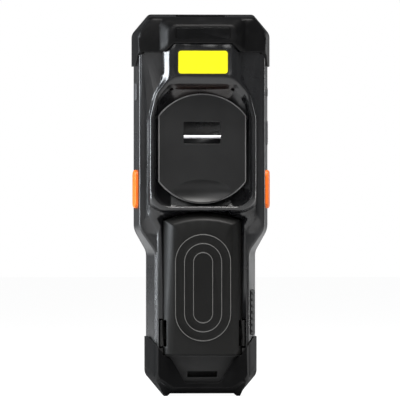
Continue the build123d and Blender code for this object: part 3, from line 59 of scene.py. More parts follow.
MM = 0.001
CAD_WELD = 2e-6                    # loose corners of a CAD mesh join within this length, in metres
MADE_WELD = 1e-6                   # and doubles of a made mesh within this one
CAD_CREASE = math.radians(32)      # a steeper edge of a CAD piece stays sharp
MADE_CREASE = math.radians(40)     # and a steeper one of a made piece

BODIES = frame["record"]["behaviour"]["bodies"]
BODY_OF = {node: body for body, nodes in BODIES.items() for node in nodes}
SLOT_OF = {row["node"]: row["material_slot"] for row in frame["record"]["subparts"]}


# ---------------------------------------------------------------- node arithmetic
class Wire:
    """A node socket that takes part in plain arithmetic."""

    def __init__(self, maker, socket):
        self.maker = maker
        self.socket = socket

    def _math(self, operation, *values):
        return self.maker.node("ShaderNodeMath", {"operation": operation}, *values)

    def __add__(self, other):
        return self._math("ADD", self, other)

    def __radd__(self, other):
        return self._math("ADD", other, self)

    def __sub__(self, other):
        return self._math("SUBTRACT", self, other)

    def __rsub__(self, other):
        return self._math("SUBTRACT", other, self)

    def __mul__(self, other):
        return self._math("MULTIPLY", self, other)

    def __rmul__(self, other):
        return self._math("MULTIPLY", other, self)

    def power(self, exponent):
        return self._math("POWER", self, exponent)

    def size(self):
        return self._math("ABSOLUTE", self)

    def larger(self, other):
        return self._math("MAXIMUM", self, other)

    def between(self, low, high):
        """0 below low, 1 above high, smooth in the middle."""
        smooth = {"interpolation_type": "SMOOTHSTEP"}
        return self.maker.node("ShaderNodeMapRange", smooth, self, low, high)


class Maker:
    """Adds nodes to a tree."""

    def __init__(self, tree):
        self.tree = tree

    def node(self, kind, settings=None, *values, output=0, **named):
        """Adds a node: its settings first, then values or links to its sockets."""
        node = self.tree.nodes.new(kind)
        for key, value in (settings or {}).items():
            setattr(node, key, value)
        places = list(zip(node.inputs, values))
        places += [(node.inputs[key.replace("_", " ")], value) for key, value in named.items()]
        for socket, value in places:
            self.feed(socket, value)
        return Wire(self, node.outputs[output])

    def feed(self, socket, value):
        if isinstance(value, Wire):
            self.tree.links.new(value.socket, socket)
        elif value is not None:
            socket.default_value = value


BACKWARDS = (0.0, -1.0, 0.0)


class Finish(Maker):
    """One surface material, built from nodes."""

    def __init__(self, name, roughness=0.5, metallic=0.0, **constants):
        self.material = bpy.data.materials.new(name)
        self.material.use_nodes = True
        super().__init__(self.material.node_tree)
        self.tree.nodes.clear()
        self.shader = self.tree.nodes.new("ShaderNodeBsdfPrincipled")
        self.out = self.tree.nodes.new("ShaderNodeOutputMaterial")
        self.tree.links.new(self.shader.outputs[0], self.out.inputs[0])
        self.shader.inputs["Roughness"].default_value = roughness
        self.shader.inputs["Metallic"].default_value = metallic
        for socket, value in constants.items():
            self.shader.inputs[socket.replace("_", " ")].default_value = value

    def place(self):
        return self.node("ShaderNodeTexCoord", output=3)

    def axes(self):
        """The x, y and z of the surface point."""
        split = self.tree.nodes.new("ShaderNodeSeparateXYZ")
        self.tree.links.new(self.place().socket, split.inputs[0])
        return [Wire(self, socket) for socket in split.outputs]

    def noise(self, scale, detail=3.0, rough=0.55, stretch=None):
        place = self.place()
        if stretch:
            place = self.node("ShaderNodeMapping", None, place, Scale=stretch)
        return self.node("ShaderNodeTexNoise", None, Vector=place, Scale=scale, Detail=detail,
                         Roughness=rough)

    def cell_edges(self, scale):
        """How far the surface point lies from the edges of a pattern of cells."""
        return self.node("ShaderNodeTexVoronoi", {"feature": "DISTANCE_TO_EDGE"},
                         Vector=self.place(), Scale=scale)

    def blend(self, mask, below, above):
        """A colour that goes from below to above as the mask goes from 0 to 1."""
        node = self.tree.nodes.new("ShaderNodeMix")
        node.data_type = "RGBA"
        for socket, value in ((0, mask), (6, below), (7, above)):
            self.feed(node.inputs[socket], value)
        return Wire(self, node.outputs[2])

    def edges(self, radius):
        """1 along convex and concave edges, 0 on open faces."""
        soft = self.node("ShaderNodeBevel", {"samples": 4}, radius)
        flat = self.node("ShaderNodeNewGeometry", output=1)
        match = self.node("ShaderNodeVectorMath", {"operation": "DOT_PRODUCT"}, soft, flat,
                          output=1)
        return (1 - match).between(0.02, 0.25)

    def give(self, **links):
        for socket, value in links.items():
            self.tree.links.new(value.socket, self.shader.inputs[socket.replace("_", " ")])
        return self

    def rounded(self, radius, wide=None):
        """The normal of edges that look rounded.

        Where the mask in wide is 1, they look rounded by its radius and lean back by its share.
        """
        soft = self.node("ShaderNodeBevel", {"samples": 8}, radius)
        if not wide:
            return soft
        mask, reach, lean = wide
        area = mask(self)
        broad = self.node("ShaderNodeBevel", {"samples": 16}, reach)
        leaning = self.mixed(area * lean, self.mixed(area, soft, broad), BACKWARDS)
        return self.node("ShaderNodeVectorMath", {"operation": "NORMALIZE"}, leaning)

    def mixed(self, mask, first, second):
        """A vector that goes from first to second as the mask goes from 0 to 1."""
        node = self.tree.nodes.new("ShaderNodeMix")
        node.data_type = "VECTOR"
        for socket, value in ((0, mask), (4, first), (5, second)):
            self.feed(node.inputs[socket], value)
        return Wire(self, node.outputs[1])

    def bump(self, height, depth, rounding=None, wide=None):
        """Feeds a height into the normal, over edges that look rounded; lengths are in metres."""
        soft = self.rounded(rounding, wide) if rounding else None
        wire = self.node("ShaderNodeBump", None, Distance=depth, Height=height, Normal=soft)
        return self.give(Normal=wire)


WEAR_REACH = 1.3         # how far wear reaches from an edge, in its rounding's radii
GRAIN = 0.016 * MM       # depths of the fine reliefs
PEBBLE = 0.026 * MM
TRACK = 0.03 * MM
POLISH = 0.008 * MM
FINE_LINES = 0.01 * MM
BORDER_BLUR = 0.12 * MM  # how softly a printed border starts and ends


def rgba(colour):
    return (*colour[:3], 1.0)


def shade(colour, factor):
    return tuple(min(1.0, channel * factor) for channel in colour[:3])


def lift(colour, amount):
    return tuple(channel + amount for channel in colour[:3])


def moulded(name, colour, roughness, wear=0.35, gleam=0.3, rounding=0.5 * MM, wide=None, dull=None,
            marks=()):
    """Fine-grained moulded plastic, a little paler and smoother along its handled edges.

    wide rolls its edges over broadly, as rounded says, dull is a mask that takes the shine off,
    and marks are pairs of a mask and its colour.
    """
    finish = Finish(name, Specular_IOR_Level=gleam)
    worn = finish.edges(rounding * WEAR_REACH) * finish.noise(90.0, 4.0).between(0.35, 0.62) * wear
    cloud = finish.noise(38.0, 4.0, 0.6).between(0.3, 0.72)
    base = finish.blend(cloud, rgba(shade(colour, 0.88)), rgba(shade(colour, 1.10)))
    for mask, tone in marks:
        base = finish.blend(mask(finish), base, rgba(tone))
    base = finish.blend(worn, base, rgba(lift(shade(colour, 0.6), 0.085)))
    grit = finish.noise(2600.0, 2.0, 0.5)
    scratch = finish.noise(420.0, 3.0, 0.7, stretch=(1.0, 1.0, 0.06)).between(0.70, 0.78)
    rough = roughness + (cloud - 0.5) * 0.10 - worn * 0.20 - scratch * 0.05
    if wide:
        rough = rough - wide[0](finish) * 0.08
    if dull:
        rough = rough + dull(finish) * 0.5
    finish.give(Base_Color=base, Roughness=rough)
    return finish.bump(grit + scratch * -0.35, GRAIN, rounding, wide).material


def rubber(name, colour, roughness=0.62, gleam=0.22, rounding=0.6 * MM, wide=None):
    """Matt elastomer with a fine pebble and dust that settles in it."""
    finish = Finish(name, Specular_IOR_Level=gleam)
    pebble = finish.noise(1900.0, 3.0, 0.6)
    dust = finish.noise(55.0, 5.0, 0.65).between(0.48, 0.80)
    rubbed = finish.edges(rounding * WEAR_REACH) * 0.5
    base = finish.blend(dust, rgba(colour), rgba(lift(shade(colour, 1.25), 0.004)))
    base = finish.blend(rubbed, base, rgba(lift(colour, 0.03)))
    finish.give(Base_Color=base, Roughness=roughness + dust * 0.12 - rubbed * 0.14)
    return finish.bump(pebble, PEBBLE, rounding, wide).material


def gloss(name, colour, roughness=0.16):
    """Polished plastic with a faint waviness and smears."""
    finish = Finish(name, Specular_IOR_Level=0.3, Coat_Weight=0.15, Coat_Roughness=0.08)
    smear = finish.noise(70.0, 4.0, 0.6).between(0.4, 0.75)
    finish.give(Base_Color=finish.blend(smear, rgba(colour), rgba(lift(colour, 0.004))),
                Roughness=roughness + smear * 0.10)
    return finish.bump(finish.noise(220.0, 2.0), POLISH, 0.2 * MM).material


def metal(name, colour, roughness=0.28, stretch=(0.05, 1.0, 1.0)):
    """Drawn or turned metal with fine lines along its length."""
    finish = Finish(name, metallic=1.0)
    lines = finish.noise(2600.0, 3.0, 0.6, stretch=stretch)
    tarnish = finish.noise(160.0, 4.0).between(0.45, 0.75)
    finish.give(Base_Color=finish.blend(tarnish, rgba(colour), rgba(shade(colour, 0.75))),
                Roughness=roughness + lines * 0.12 + tarnish * 0.08)
    return finish.bump(lines, FINE_LINES).material


def film(name, colour, border, centre, half, corner, line):
    """Bare film with a thin dark border that follows its rounded corners."""
    finish = Finish(name, roughness=0.34, Coat_Weight=0.2, Coat_Roughness=0.2)
    x, _, z = finish.axes()
    out = ((x - centre.x).size() - (half.x - corner)).larger(0.0)
    up = ((z - centre.z).size() - (half.z - corner)).larger(0.0)
    reach = (out * out + up * up).power(0.5)
    inner = corner - line
    edge = reach.between(inner - BORDER_BLUR, inner + BORDER_BLUR)
    mottled = finish.noise(300.0, 3.0).between(0.3, 0.8)
    base = finish.blend(mottled, rgba(colour), rgba(shade(colour, 0.95)))
    finish.give(Base_Color=finish.blend(edge, base, rgba(border)))
    return finish.bump(finish.noise(900.0, 2.0), FINE_LINES).material


def tinted(name, colour, roughness=0.04):
    """Dark see-into glass: gloss over a deep tone, with faint finger smears."""
    finish = Finish(name, Coat_Weight=0.6, Coat_Roughness=0.02, IOR=1.5)
    smear = finish.noise(24.0, 5.0, 0.7).between(0.5, 0.8)
    finish.give(Base_Color=finish.blend(smear, rgba(colour), rgba(lift(colour, 0.004))),
                Roughness=roughness + smear * 0.14)
    return finish.material


def board(name, colour):
    """Solder mask over faint copper tracks."""
    finish = Finish(name, roughness=0.35)
    tracks = finish.cell_edges(260.0).between(0.03, 0.06)
    finish.give(Base_Color=finish.blend(tracks, rgba(shade(colour, 1.7)), rgba(colour)))
    return finish.bump(tracks, TRACK).material


def paint_film(name, colour, roughness=0.45):
    """A thin printed or pale layer with a slightly uneven tone."""
    finish = Finish(name)
    thin = finish.noise(700.0, 3.0, 0.6).between(0.3, 0.75)
    finish.give(Base_Color=finish.blend(thin, rgba(shade(colour, 0.8)), rgba(colour)),
                Roughness=roughness + thin * 0.1)
    return finish.material


# ---------------------------------------------------------------- mesh helpers
def plain_mesh(piece):
    """Applies a piece's modifiers and leaves it a plain mesh."""
    depsgraph = bpy.context.evaluated_depsgraph_get()
    mesh = bpy.data.meshes.new_from_object(piece.evaluated_get(depsgraph))
    piece.modifiers.clear()
    piece.data = mesh
    return piece


def new_piece(name, mesh):
    piece = bpy.data.objects.new(name, mesh)
    bpy.context.scene.collection.objects.link(piece)
    return piece


def merged_copy(node):
    """A copy of a CAD piece's mesh, with its loose triangles joined."""
    mesh = frame["nodes"][node].data.copy()
    mesh.materials.clear()
    work = bmesh.new()
    work.from_mesh(mesh)
    bmesh.ops.remove_doubles(work, verts=work.verts, dist=CAD_WELD)
    work.to_mesh(mesh)
    work.free()
    return mesh


def smoothed(mesh, crease):
    """Shades a mesh's faces smoothly, apart from the edges that turn by more than crease."""
    for polygon in mesh.polygons:
        polygon.use_smooth = True
    mesh.set_sharp_from_angle(angle=crease)


def dressed(node, material):
    """Stands a copy with smooth curved faces in place of a CAD piece."""
    piece = new_piece(f"{node}_finished", merged_copy(node))
    piece.data.materials.append(material)
    smoothed(piece.data, CAD_CREASE)
    weighted = piece.modifiers.new("shading", "WEIGHTED_NORMAL")
    weighted.keep_sharp = True
    weighted.weight = 100
    plain_mesh(piece)
    return adopt(piece, node, replace=True)


def adopt(piece, node, replace=False):
    """A piece made for a node rides where the node rides."""
    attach(piece, BODY_OF[node])
    if replace:
        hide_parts(node)
    return piece


def paint(node, material):
    """A CAD piece whose shape is right only gets its finish."""
    piece = frame["nodes"][node]
    piece.data.materials.clear()
    piece.data.materials.append(material)
    return piece


def middle(node):
    low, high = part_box(node)
    return (Vector(low) + Vector(high)) / 2


def span(node):
    low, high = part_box(node)
    return Vector(high) - Vector(low)


# ---------------------------------------------------------------- repeated shapes
RIB_CORNER = 0.35        # radius of a rib's long corners, as a share of its rise
CREST_CORNER = 0.45      # and of a crest's, as a share of its thickness
CORNER_STEPS = 3         # points along such a corner
OVAL_STEPS = 20          # points along each quarter turn of an oval
FULL_ROUND = 0.9999      # share of its half width that an oval's ends are rounded by


class Growth(Maker):
    """A tree of repeated shapes with named sizes, and the plain mesh that it makes."""

    def __init__(self, name, **sizes):
        super().__init__(bpy.data.node_groups.new(name, "GeometryNodeTree"))
        self.sizes = sizes
        self.keys = {}
        self.socket("Geometry", "INPUT", "NodeSocketGeometry")
        for label, value in sizes.items():
            kind = "NodeSocketInt" if isinstance(value, int) else "NodeSocketFloat"
            self.keys[label] = self.socket(label, "INPUT", kind)
        self.socket("Geometry", "OUTPUT", "NodeSocketGeometry")
        self.start = self.tree.nodes.new("NodeGroupInput")

    def socket(self, label, side, kind):
        """Adds a socket to the tree's outside and returns its identifier."""
        return self.tree.interface.new_socket(label, in_out=side, socket_type=kind).identifier

    def given(self, label):
        return Wire(self, self.start.outputs[label])

    def outline(self, width, height, radius, steps=CORNER_STEPS):
        """A rectangle's outline with rounded corners."""
        corners = self.node("GeometryNodeCurvePrimitiveQuadrilateral", None, width, height)
        return self.node("GeometryNodeFilletCurve", {"mode": "POLY"}, Curve=corners, Count=steps,
                         Radius=radius)

    def bar(self, width, length, rise):
        """A bar with rounded long corners, lying along y."""
        section = self.outline(width, rise, rise * RIB_CORNER)
        path = self.node("GeometryNodeCurvePrimitiveLine", None, Start=(0.0, 0.0, 0.0),
                         End=self.node("ShaderNodeCombineXYZ", None, 0.0, length, 0.0))
        return self.node("GeometryNodeCurveToMesh", None, path, section, Fill_Caps=True)

    def finish(self, geometry, material, name):
        """Ends the tree, sets its inputs by their identifiers and makes the mesh."""
        solid = self.node("GeometryNodeRealizeInstances", None, geometry)
        coated = self.node("GeometryNodeSetMaterial", None, Geometry=solid, Material=material)
        end = self.tree.nodes.new("NodeGroupOutput")
        self.tree.links.new(coated.socket, end.inputs[0])
        piece = new_piece(name, bpy.data.meshes.new(name))
        growth = piece.modifiers.new("growth", "NODES")
        growth.node_group = self.tree
        for label, value in self.sizes.items():
            growth[self.keys[label]] = value
        return plain_mesh(piece)


def oval_crests(sizes, material, place):
    """The rings on the battery's back, one inside the other."""
    tree = Growth("oval_crests", Count=sizes.ridge_count, Outer=sizes.ridge_outer,
                  Step=sizes.ridge_step, Straight=sizes.ridge_straight, Width=sizes.ridge_width,
                  Rise=sizes.ridge_rise)
    first = tree.tree.nodes.new("GeometryNodeRepeatInput")
    last = tree.tree.nodes.new("GeometryNodeRepeatOutput")
    first.pair_with_output(last)
    tree.feed(first.inputs["Iterations"], tree.given("Count"))
    radius = tree.given("Outer") - Wire(tree, first.outputs["Iteration"]) * tree.given("Step")
    oval = tree.outline(radius * 2, radius * 2 + tree.given("Straight"), radius * FULL_ROUND,
                        OVAL_STEPS)
    section = tree.outline(tree.given("Width"), tree.given("Rise"),
                           tree.given("Rise") * CREST_CORNER)
    ring = tree.node("GeometryNodeCurveToMesh", None, oval, section)
    both = tree.tree.nodes.new("GeometryNodeJoinGeometry")
    tree.tree.links.new(first.outputs["Geometry"], both.inputs[0])
    tree.tree.links.new(ring.socket, both.inputs[0])
    tree.tree.links.new(both.outputs[0], last.inputs["Geometry"])
    stood = tree.node("GeometryNodeTransform", None, Wire(tree, last.outputs["Geometry"]),
                      Translation=place, Rotation=(math.pi / 2, 0.0, 0.0))
    return outward(tree.finish(stood, material, "ridge_crests"))


def rib_row(name, count, pitch, width, length, rise, turn, place, material):
    """A row of finger ribs, turned and put in its place as one piece."""
    tree = Growth(name, Count=count, Pitch=pitch, Width=width, Length=length, Rise=rise)
    step = tree.node("ShaderNodeCombineXYZ", None, tree.given("Pitch"), 0.0, 0.0)
    places = tree.node("GeometryNodeMeshLine", None, Count=tree.given("Count"), Offset=step)
    rib = tree.bar(tree.given("Width"), tree.given("Length"), tree.given("Rise"))
    row = tree.node("GeometryNodeInstanceOnPoints", None, Points=places, Instance=rib)
    half_row = (tree.given("Count") - 1) * tree.given("Pitch") * -0.5
    half_rib = tree.given("Length") * -0.5
    centre = tree.node("ShaderNodeCombineXYZ", None, half_row, half_rib, 0.0)
    row = tree.node("GeometryNodeTransform", None, row, Translation=centre)
    row = tree.node("GeometryNodeTransform", None, row, Translation=place, Rotation=turn)
    return outward(tree.finish(row, material, name))


def outward(piece):
    """Joins a made mesh's doubles and turns its faces outwards."""
    work = bmesh.new()
    work.from_mesh(piece.data)
    bmesh.ops.remove_doubles(work, verts=work.verts, dist=MADE_WELD)
    bmesh.ops.recalc_face_normals(work, faces=work.faces)
    work.to_mesh(piece.data)
    work.free()
    smoothed(piece.data, MADE_CREASE)
    return piece


PRINT_SUNK = 0.04 * MM       # how deep a mark starts under a key's face
PRINT_PROUD = 0.03 * MM      # and how far it stands out
DIGIT_PROUD = 0.035 * MM     # half the thickness of a number
DIGIT_SHARE = 0.7            # a number's height, as a share of its font's size
DISC_SIDES = 20
RING_BLOCKS = 14
RING_OVERLAP = 1.02          # a ring block's length in steps, so that neighbours overlap


def printed(name, node, strokes, material):
    """Flat marks on a key's face; strokes are outlines in metres round the key's middle."""
    centre, face = middle(node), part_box(node)[1][1]
    work = bmesh.new()
    for outline in strokes:
        rings = [[work.verts.new((centre.x - u, face + rise, centre.z + v)) for u, v in outline]
                 for rise in (-PRINT_SUNK, PRINT_PROUD)]
        for ring in rings:
            work.faces.new(ring)
        for index in range(len(outline)):
            after = (index + 1) % len(outline)
            work.faces.new((rings[0][index], rings[0][after], rings[1][after], rings[1][index]))
    bmesh.ops.recalc_face_normals(work, faces=work.faces)
    mesh = bpy.data.meshes.new(name)
    work.to_mesh(mesh)
    work.free()
    mesh.materials.append(material)
    return adopt(new_piece(name, mesh), node)


def digit(node, sign, height, material):
    """A plain number on a key, made a mesh before it takes its place."""
    curve = bpy.data.curves.new(f"{node}_digit", "FONT")
    curve.body = sign
    curve.size = height / DIGIT_SHARE
    curve.align_x, curve.align_y = "CENTER", "CENTER"
    curve.extrude = DIGIT_PROUD
    curve.resolution_u = 4
    holder = bpy.data.objects.new(f"{node}_digit", curve)
    bpy.context.scene.collection.objects.link(holder)
    depsgraph = bpy.context.evaluated_depsgraph_get()
    mesh = bpy.data.meshes.new_from_object(holder.evaluated_get(depsgraph))
    bpy.data.objects.remove(holder)
    centre, face = middle(node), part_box(node)[1][1]
    upright = ((-1, 0, 0, centre.x), (0, 0, 1, face), (0, 1, 0, centre.z), (0, 0, 0, 1))
    mesh.transform(Matrix(upright))
    mesh.materials.clear()
    mesh.materials.append(material)
    return adopt(new_piece(f"{node}_digit", mesh), node)


def disc(u, v, radius):
    turns = [2 * math.pi * step / DISC_SIDES for step in range(DISC_SIDES)]
    return [(u + radius * math.cos(turn), v + radius * math.sin(turn)) for turn in turns]


def stroke(u, v, width, height):
    return [(u - width / 2, v - height / 2), (u + width / 2, v - height / 2),
            (u + width / 2, v + height / 2), (u - width / 2, v + height / 2)]


def arc_strokes(radius, width, start, end):
    """Short blocks that together draw an open ring."""
    inner, outer = radius - width / 2, radius + width / 2
    blocks = []
    for step in range(RING_BLOCKS):
        a = start + (end - start) * step / RING_BLOCKS
        b = start + (end - start) * (step + RING_OVERLAP) / RING_BLOCKS
        blocks.append([(reach * math.cos(turn), reach * math.sin(turn))
                       for reach, turn in ((inner, a), (outer, a), (outer, b), (inner, b))])
    return blocks


# ---------------------------------------------------------------- settings
class TerminalColours(bpy.types.PropertyGroup):
    """Colours of the terminal's pieces, with a painted shade on the recess ramp and a painted
    highlight on the plate rim.
    """
    shell: FloatVectorProperty(name="Shell", description="Housing plastic", subtype="COLOR",
                               default=(0.0062, 0.0064, 0.0072))
    pack: FloatVectorProperty(name="Battery", description="Battery shell plastic",
                              subtype="COLOR", default=(0.0048, 0.0048, 0.0045))
    plate: FloatVectorProperty(name="Plate", description="Grip plate plastic", subtype="COLOR",
                               default=(0.0078, 0.0079, 0.0081))
    bumper: FloatVectorProperty(name="Bumper", description="Bumper rubber", subtype="COLOR",
                                default=(0.0018, 0.0018, 0.0020))
    badge: FloatVectorProperty(name="Badge", description="Blank badge plate", subtype="COLOR",
                               default=(0.0015, 0.0015, 0.0016))
    accent: FloatVectorProperty(name="Accent", description="Trigger and scan keys",
                                subtype="COLOR", default=(1.0, 0.17, 0.012))
    label: FloatVectorProperty(name="Label", description="Bare label film", subtype="COLOR",
                               default=(0.95, 0.88, 0.0))
    key: FloatVectorProperty(name="Key", description="Key caps", subtype="COLOR",
                             default=(0.05, 0.051, 0.054))
    legend: FloatVectorProperty(name="Legend", description="Printed digits", subtype="COLOR",
                                default=(0.78, 0.78, 0.76))
    # The ramp colour is painted shade: a dark reddish-brown tint where the overhang shades the
    # recess's upper ramp.
    ramp: FloatVectorProperty(name="Ramp", description="Painted shade on the recess's upper ramp",
                              subtype="COLOR", default=(0.011, 0.0055, 0.0045))
    # The plate rim colour is a painted highlight along the grip plate's edge.
    rim: FloatVectorProperty(name="Plate rim", description="Painted highlight along the grip plate's rim",
                             subtype="COLOR", default=(0.26, 0.26, 0.26))
    # The ridge colour paints the crest tops of the ovals paler than the pack.
    ridge: FloatVectorProperty(name="Ridge", description="Pale tops of the battery ridges",
                               subtype="COLOR", default=(0.12, 0.12, 0.115))


class TerminalSizes(bpy.types.PropertyGroup):
    """Sizes of the finish."""
    shell_round: FloatProperty(name="Shell rounding", description="Edge radius of the shells",
                               unit="LENGTH", default=0.5 * MM)
    tower_round: FloatProperty(name="Tower rounding",
                               description="Edge radius of the raised back", unit="LENGTH",
                               default=4.5 * MM)
    tower_lean: FloatProperty(name="Tower roll",
                              description="How far the raised back's flanks roll over",
                              default=0.24)
    bumper_round: FloatProperty(name="Bumper rounding", description="Edge radius of the rubber",
                                unit="LENGTH", default=0.7 * MM)
    key_round: FloatProperty(name="Key rounding", description="Edge radius of the key caps",
                             unit="LENGTH", default=0.3 * MM)
    border: FloatProperty(name="Label border", description="Width of the label's dark line",
                          unit="LENGTH", default=0.75 * MM)
    label_corner: FloatProperty(name="Label corner",
                                description="Radius of the label's corners", unit="LENGTH",
                                default=2.3 * MM)
    ridge_height: FloatProperty(name="Ridge height",
                                description="Middle of the battery's ovals", unit="LENGTH",
                                default=63.6 * MM)
    ridge_back: FloatProperty(name="Ridge back",
                              description="How far back the ovals' middle plane lies",
                              unit="LENGTH", default=-17.26 * MM)
    ridge_straight: FloatProperty(name="Ridge straight",
                                  description="Length of an oval's straight sides",
                                  unit="LENGTH", default=29.8 * MM)
    ridge_outer: FloatProperty(name="Outer ridge", description="Radius of the outer oval",
                               unit="LENGTH", default=16.1 * MM)
    ridge_step: FloatProperty(name="Ridge step", description="Gap between ovals", unit="LENGTH",
                              default=5.25 * MM)
    ridge_count: IntProperty(name="Ridges", description="How many ovals", default=3, min=1,
                             max=6)
    ridge_width: FloatProperty(name="Ridge width", description="Width of an oval's crest",
                               unit="LENGTH", default=0.62 * MM)
    ridge_rise: FloatProperty(name="Ridge rise", description="Thickness of an oval",
                              unit="LENGTH", default=0.56 * MM)
    digit_height: FloatProperty(name="Digit height",
                                description="Height of the numbers on the keys", unit="LENGTH",
                                default=4.2 * MM)


class TerminalStage(bpy.types.PropertyGroup):
    """Camera and lights."""
    azimuth: FloatProperty(name="Azimuth", description="Camera's angle round the object",
                           subtype="ANGLE", default=math.radians(-3.0))
    distance: FloatProperty(name="Distance", description="Camera's distance", unit="LENGTH",
                            default=2.6)
    view_height: FloatProperty(name="View height",
                               description="Height of the picture at the object", unit="LENGTH",
                               default=0.2348)
    key_power: FloatProperty(name="Key light", description="Tall softbox on the left",
                             unit="POWER", default=14.0)
    rim_power: FloatProperty(name="Rim light", description="Right softbox, behind",
                             unit="POWER", default=2.5)
    top_power: FloatProperty(name="Top light", description="Softbox overhead", unit="POWER",
                             default=13.0)
    fill_power: FloatProperty(name="Fill light", description="Wide softbox in front",
                              unit="POWER", default=7.0)
    world_strength: FloatProperty(name="World", description="Strength of the even light",
                                  default=0.14)
    mirror_share: FloatProperty(name="Mirrored white",
                                description="How white mirrors and glass see the room",
                                default=0.08)
    floor_half: FloatProperty(name="Floor", description="Half the floor's width", unit="LENGTH",
                              default=4.0)
    floor_share: FloatProperty(name="Floor white",
                               description="How much of the floor's look is plain white",
                               default=0.82)
    floor_glow: FloatProperty(name="Floor glow", description="Strength of that white",
                              default=1.16)


# ---------------------------------------------------------------- masks of the shells
# Each pair is where along its axis a ramp of a mask starts and ends, in metres.
# The RAMP pairs bound the painted shade on the recess's upper ramp.
RAMP_FOOT, RAMP_TOP = (171 * MM, 177 * MM), (181 * MM, 184 * MM)
RAMP_SIDE, RAMP_FLOOR = (13 * MM, 21 * MM), (-17 * MM, -14 * MM)
ROLL_SIDE, ROLL_FRONT, ROLL_FOOT = (29 * MM, 32 * MM), (-9 * MM, -7 * MM), (117 * MM, 124 * MM)
BOOT_TOP = (30 * MM, 34 * MM)
# RIM_INNER and RIM_OUTER place the painted highlight along the plate's rim.
RIM_INNER, RIM_OUTER = 0.9 * MM, 0.5 * MM      # how far in from the plate's edge its rim lies


def ramp_painted_shade(finish):
    """1 on the recess's upper ramp, where a reddish painted shade goes, 0 elsewhere."""
    x, y, z = finish.axes()
    high = z.between(*RAMP_FOOT) * (1 - z.between(*RAMP_TOP))
    return high * (1 - x.size().between(*RAMP_SIDE)) * y.between(*RAMP_FLOOR)


def raised_back(finish):
    """1 where the shell's tower and recess rim roll over broadly, 0 elsewhere."""
    x, y, z = finish.axes()
    inside = (1 - x.size().between(*ROLL_SIDE)) * (1 - y.between(*ROLL_FRONT))
    return inside * z.between(*ROLL_FOOT)


def boot_panel(finish):
    """1 on the part of the shell that the bottom bumper frames, 0 elsewhere."""
    return 1 - finish.axes()[2].between(*BOOT_TOP)


def rim_painted_highlight(finish):
    """1 along the plate's rim, where a highlight is painted, 0 on its face."""
    x, _, z = finish.axes()
    centre, half = middle("grip_plate"), span("grip_plate") / 2
    up = z - centre.z
    far = (x * x + up * up).power(0.5).between(half.z - RIM_INNER, half.z - RIM_OUTER)
    return x.size().between(half.x - RIM_INNER, half.x - RIM_OUTER).larger(far)


# ---------------------------------------------------------------- operators
GOLD = (0.85, 0.62, 0.25)
FOIL = (0.7, 0.7, 0.7)
STEEL = (0.62, 0.62, 0.64)
SOCKET_STEEL = (0.55, 0.55, 0.57)
ZINC = (0.4, 0.4, 0.41)
SEAL = (0.012, 0.012, 0.012)
GASKET = (0.015, 0.015, 0.015)
SILICONE = (0.10, 0.10, 0.10)
COMPONENT = (0.02, 0.02, 0.02)
DISPLAY = (0.02, 0.02, 0.024)
GLASS = (0.004, 0.004, 0.005)
SCAN_RED = (0.03, 0.002, 0.002)
SOLDER_MASK = (0.01, 0.07, 0.03)
LABEL_LINE = (0.02, 0.018, 0.0)
CALL_GREEN = (0.02, 0.42, 0.07)
END_RED = (0.62, 0.02, 0.015)


class TERMINAL_OT_shells(bpy.types.Operator):
    """Finish the two housings, their seal and the grip plate."""
    bl_idname = "terminal.shells"
    bl_label = "Finish shells"

    def execute(self, context):
        colours, sizes = context.scene.terminal_colours, context.scene.terminal_sizes
        rounding = sizes.shell_round
        # The shell's first mark paints a reddish shade on the recess's upper ramp.
        shell = moulded("shell_plastic", colours.shell, roughness=0.3, gleam=0.6, rounding=rounding,
                        wide=(raised_back, sizes.tower_round, sizes.tower_lean), dull=boot_panel,
                        marks=[(ramp_painted_shade, colours.ramp), (boot_panel, colours.bumper)])
        front = moulded("front_plastic", colours.shell, roughness=0.4, rounding=rounding)
        # The plate's mark paints a highlight along its rim.
        plate = moulded("plate_plastic", colours.plate, roughness=0.42, wear=0.25,
                        rounding=rounding * 0.8, marks=[(rim_painted_highlight, colours.rim)])
        dressed("rear_housing", shell)
        dressed("front_housing", front)
        dressed("grip_plate", plate)
        paint("housing_seal", rubber("seal_rubber", SEAL))
        dressed("strap_bar", metal("drawn_steel", STEEL))
        return {"FINISHED"}


class TERMINAL_OT_bumpers(bpy.types.Operator):
    """Finish the bumpers, the badge, the label and the scan window."""
    bl_idname = "terminal.bumpers"
    bl_label = "Finish bumpers"

    def execute(self, context):
        colours, sizes = context.scene.terminal_colours, context.scene.terminal_sizes
        cover = rubber("bumper_rubber", colours.bumper, roughness=0.42, gleam=0.12,
                       rounding=sizes.bumper_round,
                       wide=(raised_back, sizes.tower_round, sizes.tower_lean))
        dressed("top_bumper", cover)
        boot = rubber("boot_rubber", colours.bumper, roughness=0.55, gleam=0.06,
                      rounding=sizes.bumper_round)
        dressed("bottom_bumper", boot)
        dressed("badge_plate", gloss("badge_gloss", colours.badge))
        label = film("label_film", colours.label, LABEL_LINE, middle("label_plate"),
                     span("label_plate") / 2, sizes.label_corner, sizes.border)
        dressed("label_plate", label)
        dressed("scan_window", tinted("window_tint", SCAN_RED))
        return {"FINISHED"}


class TERMINAL_OT_battery(bpy.types.Operator):
    """Finish the battery pack, its oval ridges and its latches."""
    bl_idname = "terminal.battery"
    bl_label = "Finish battery"

    def execute(self, context):
        colours, sizes = context.scene.terminal_colours, context.scene.terminal_sizes
        pack = moulded("pack_plastic", colours.pack, roughness=0.44, wear=0.3, gleam=0.18,
                       rounding=sizes.shell_round)
        dressed("battery_shell", pack)
        dressed("battery_base", pack)
        dressed("battery_cell", metal("cell_foil", FOIL, roughness=0.35))
        paint("battery_contacts", metal("pack_gold", GOLD, roughness=0.2))
        crests = oval_crests(sizes, paint_film("ridge_worn", colours.ridge),
                             (0.0, sizes.ridge_back, sizes.ridge_height))
        adopt(crests, "battery_shell")
        for side in ("left", "right"):
            latch = moulded(f"latch_plastic_{side}", colours.pack, roughness=0.4,
                            rounding=sizes.key_round)
            dressed(f"latch_{side}", latch)
        return {"FINISHED"}


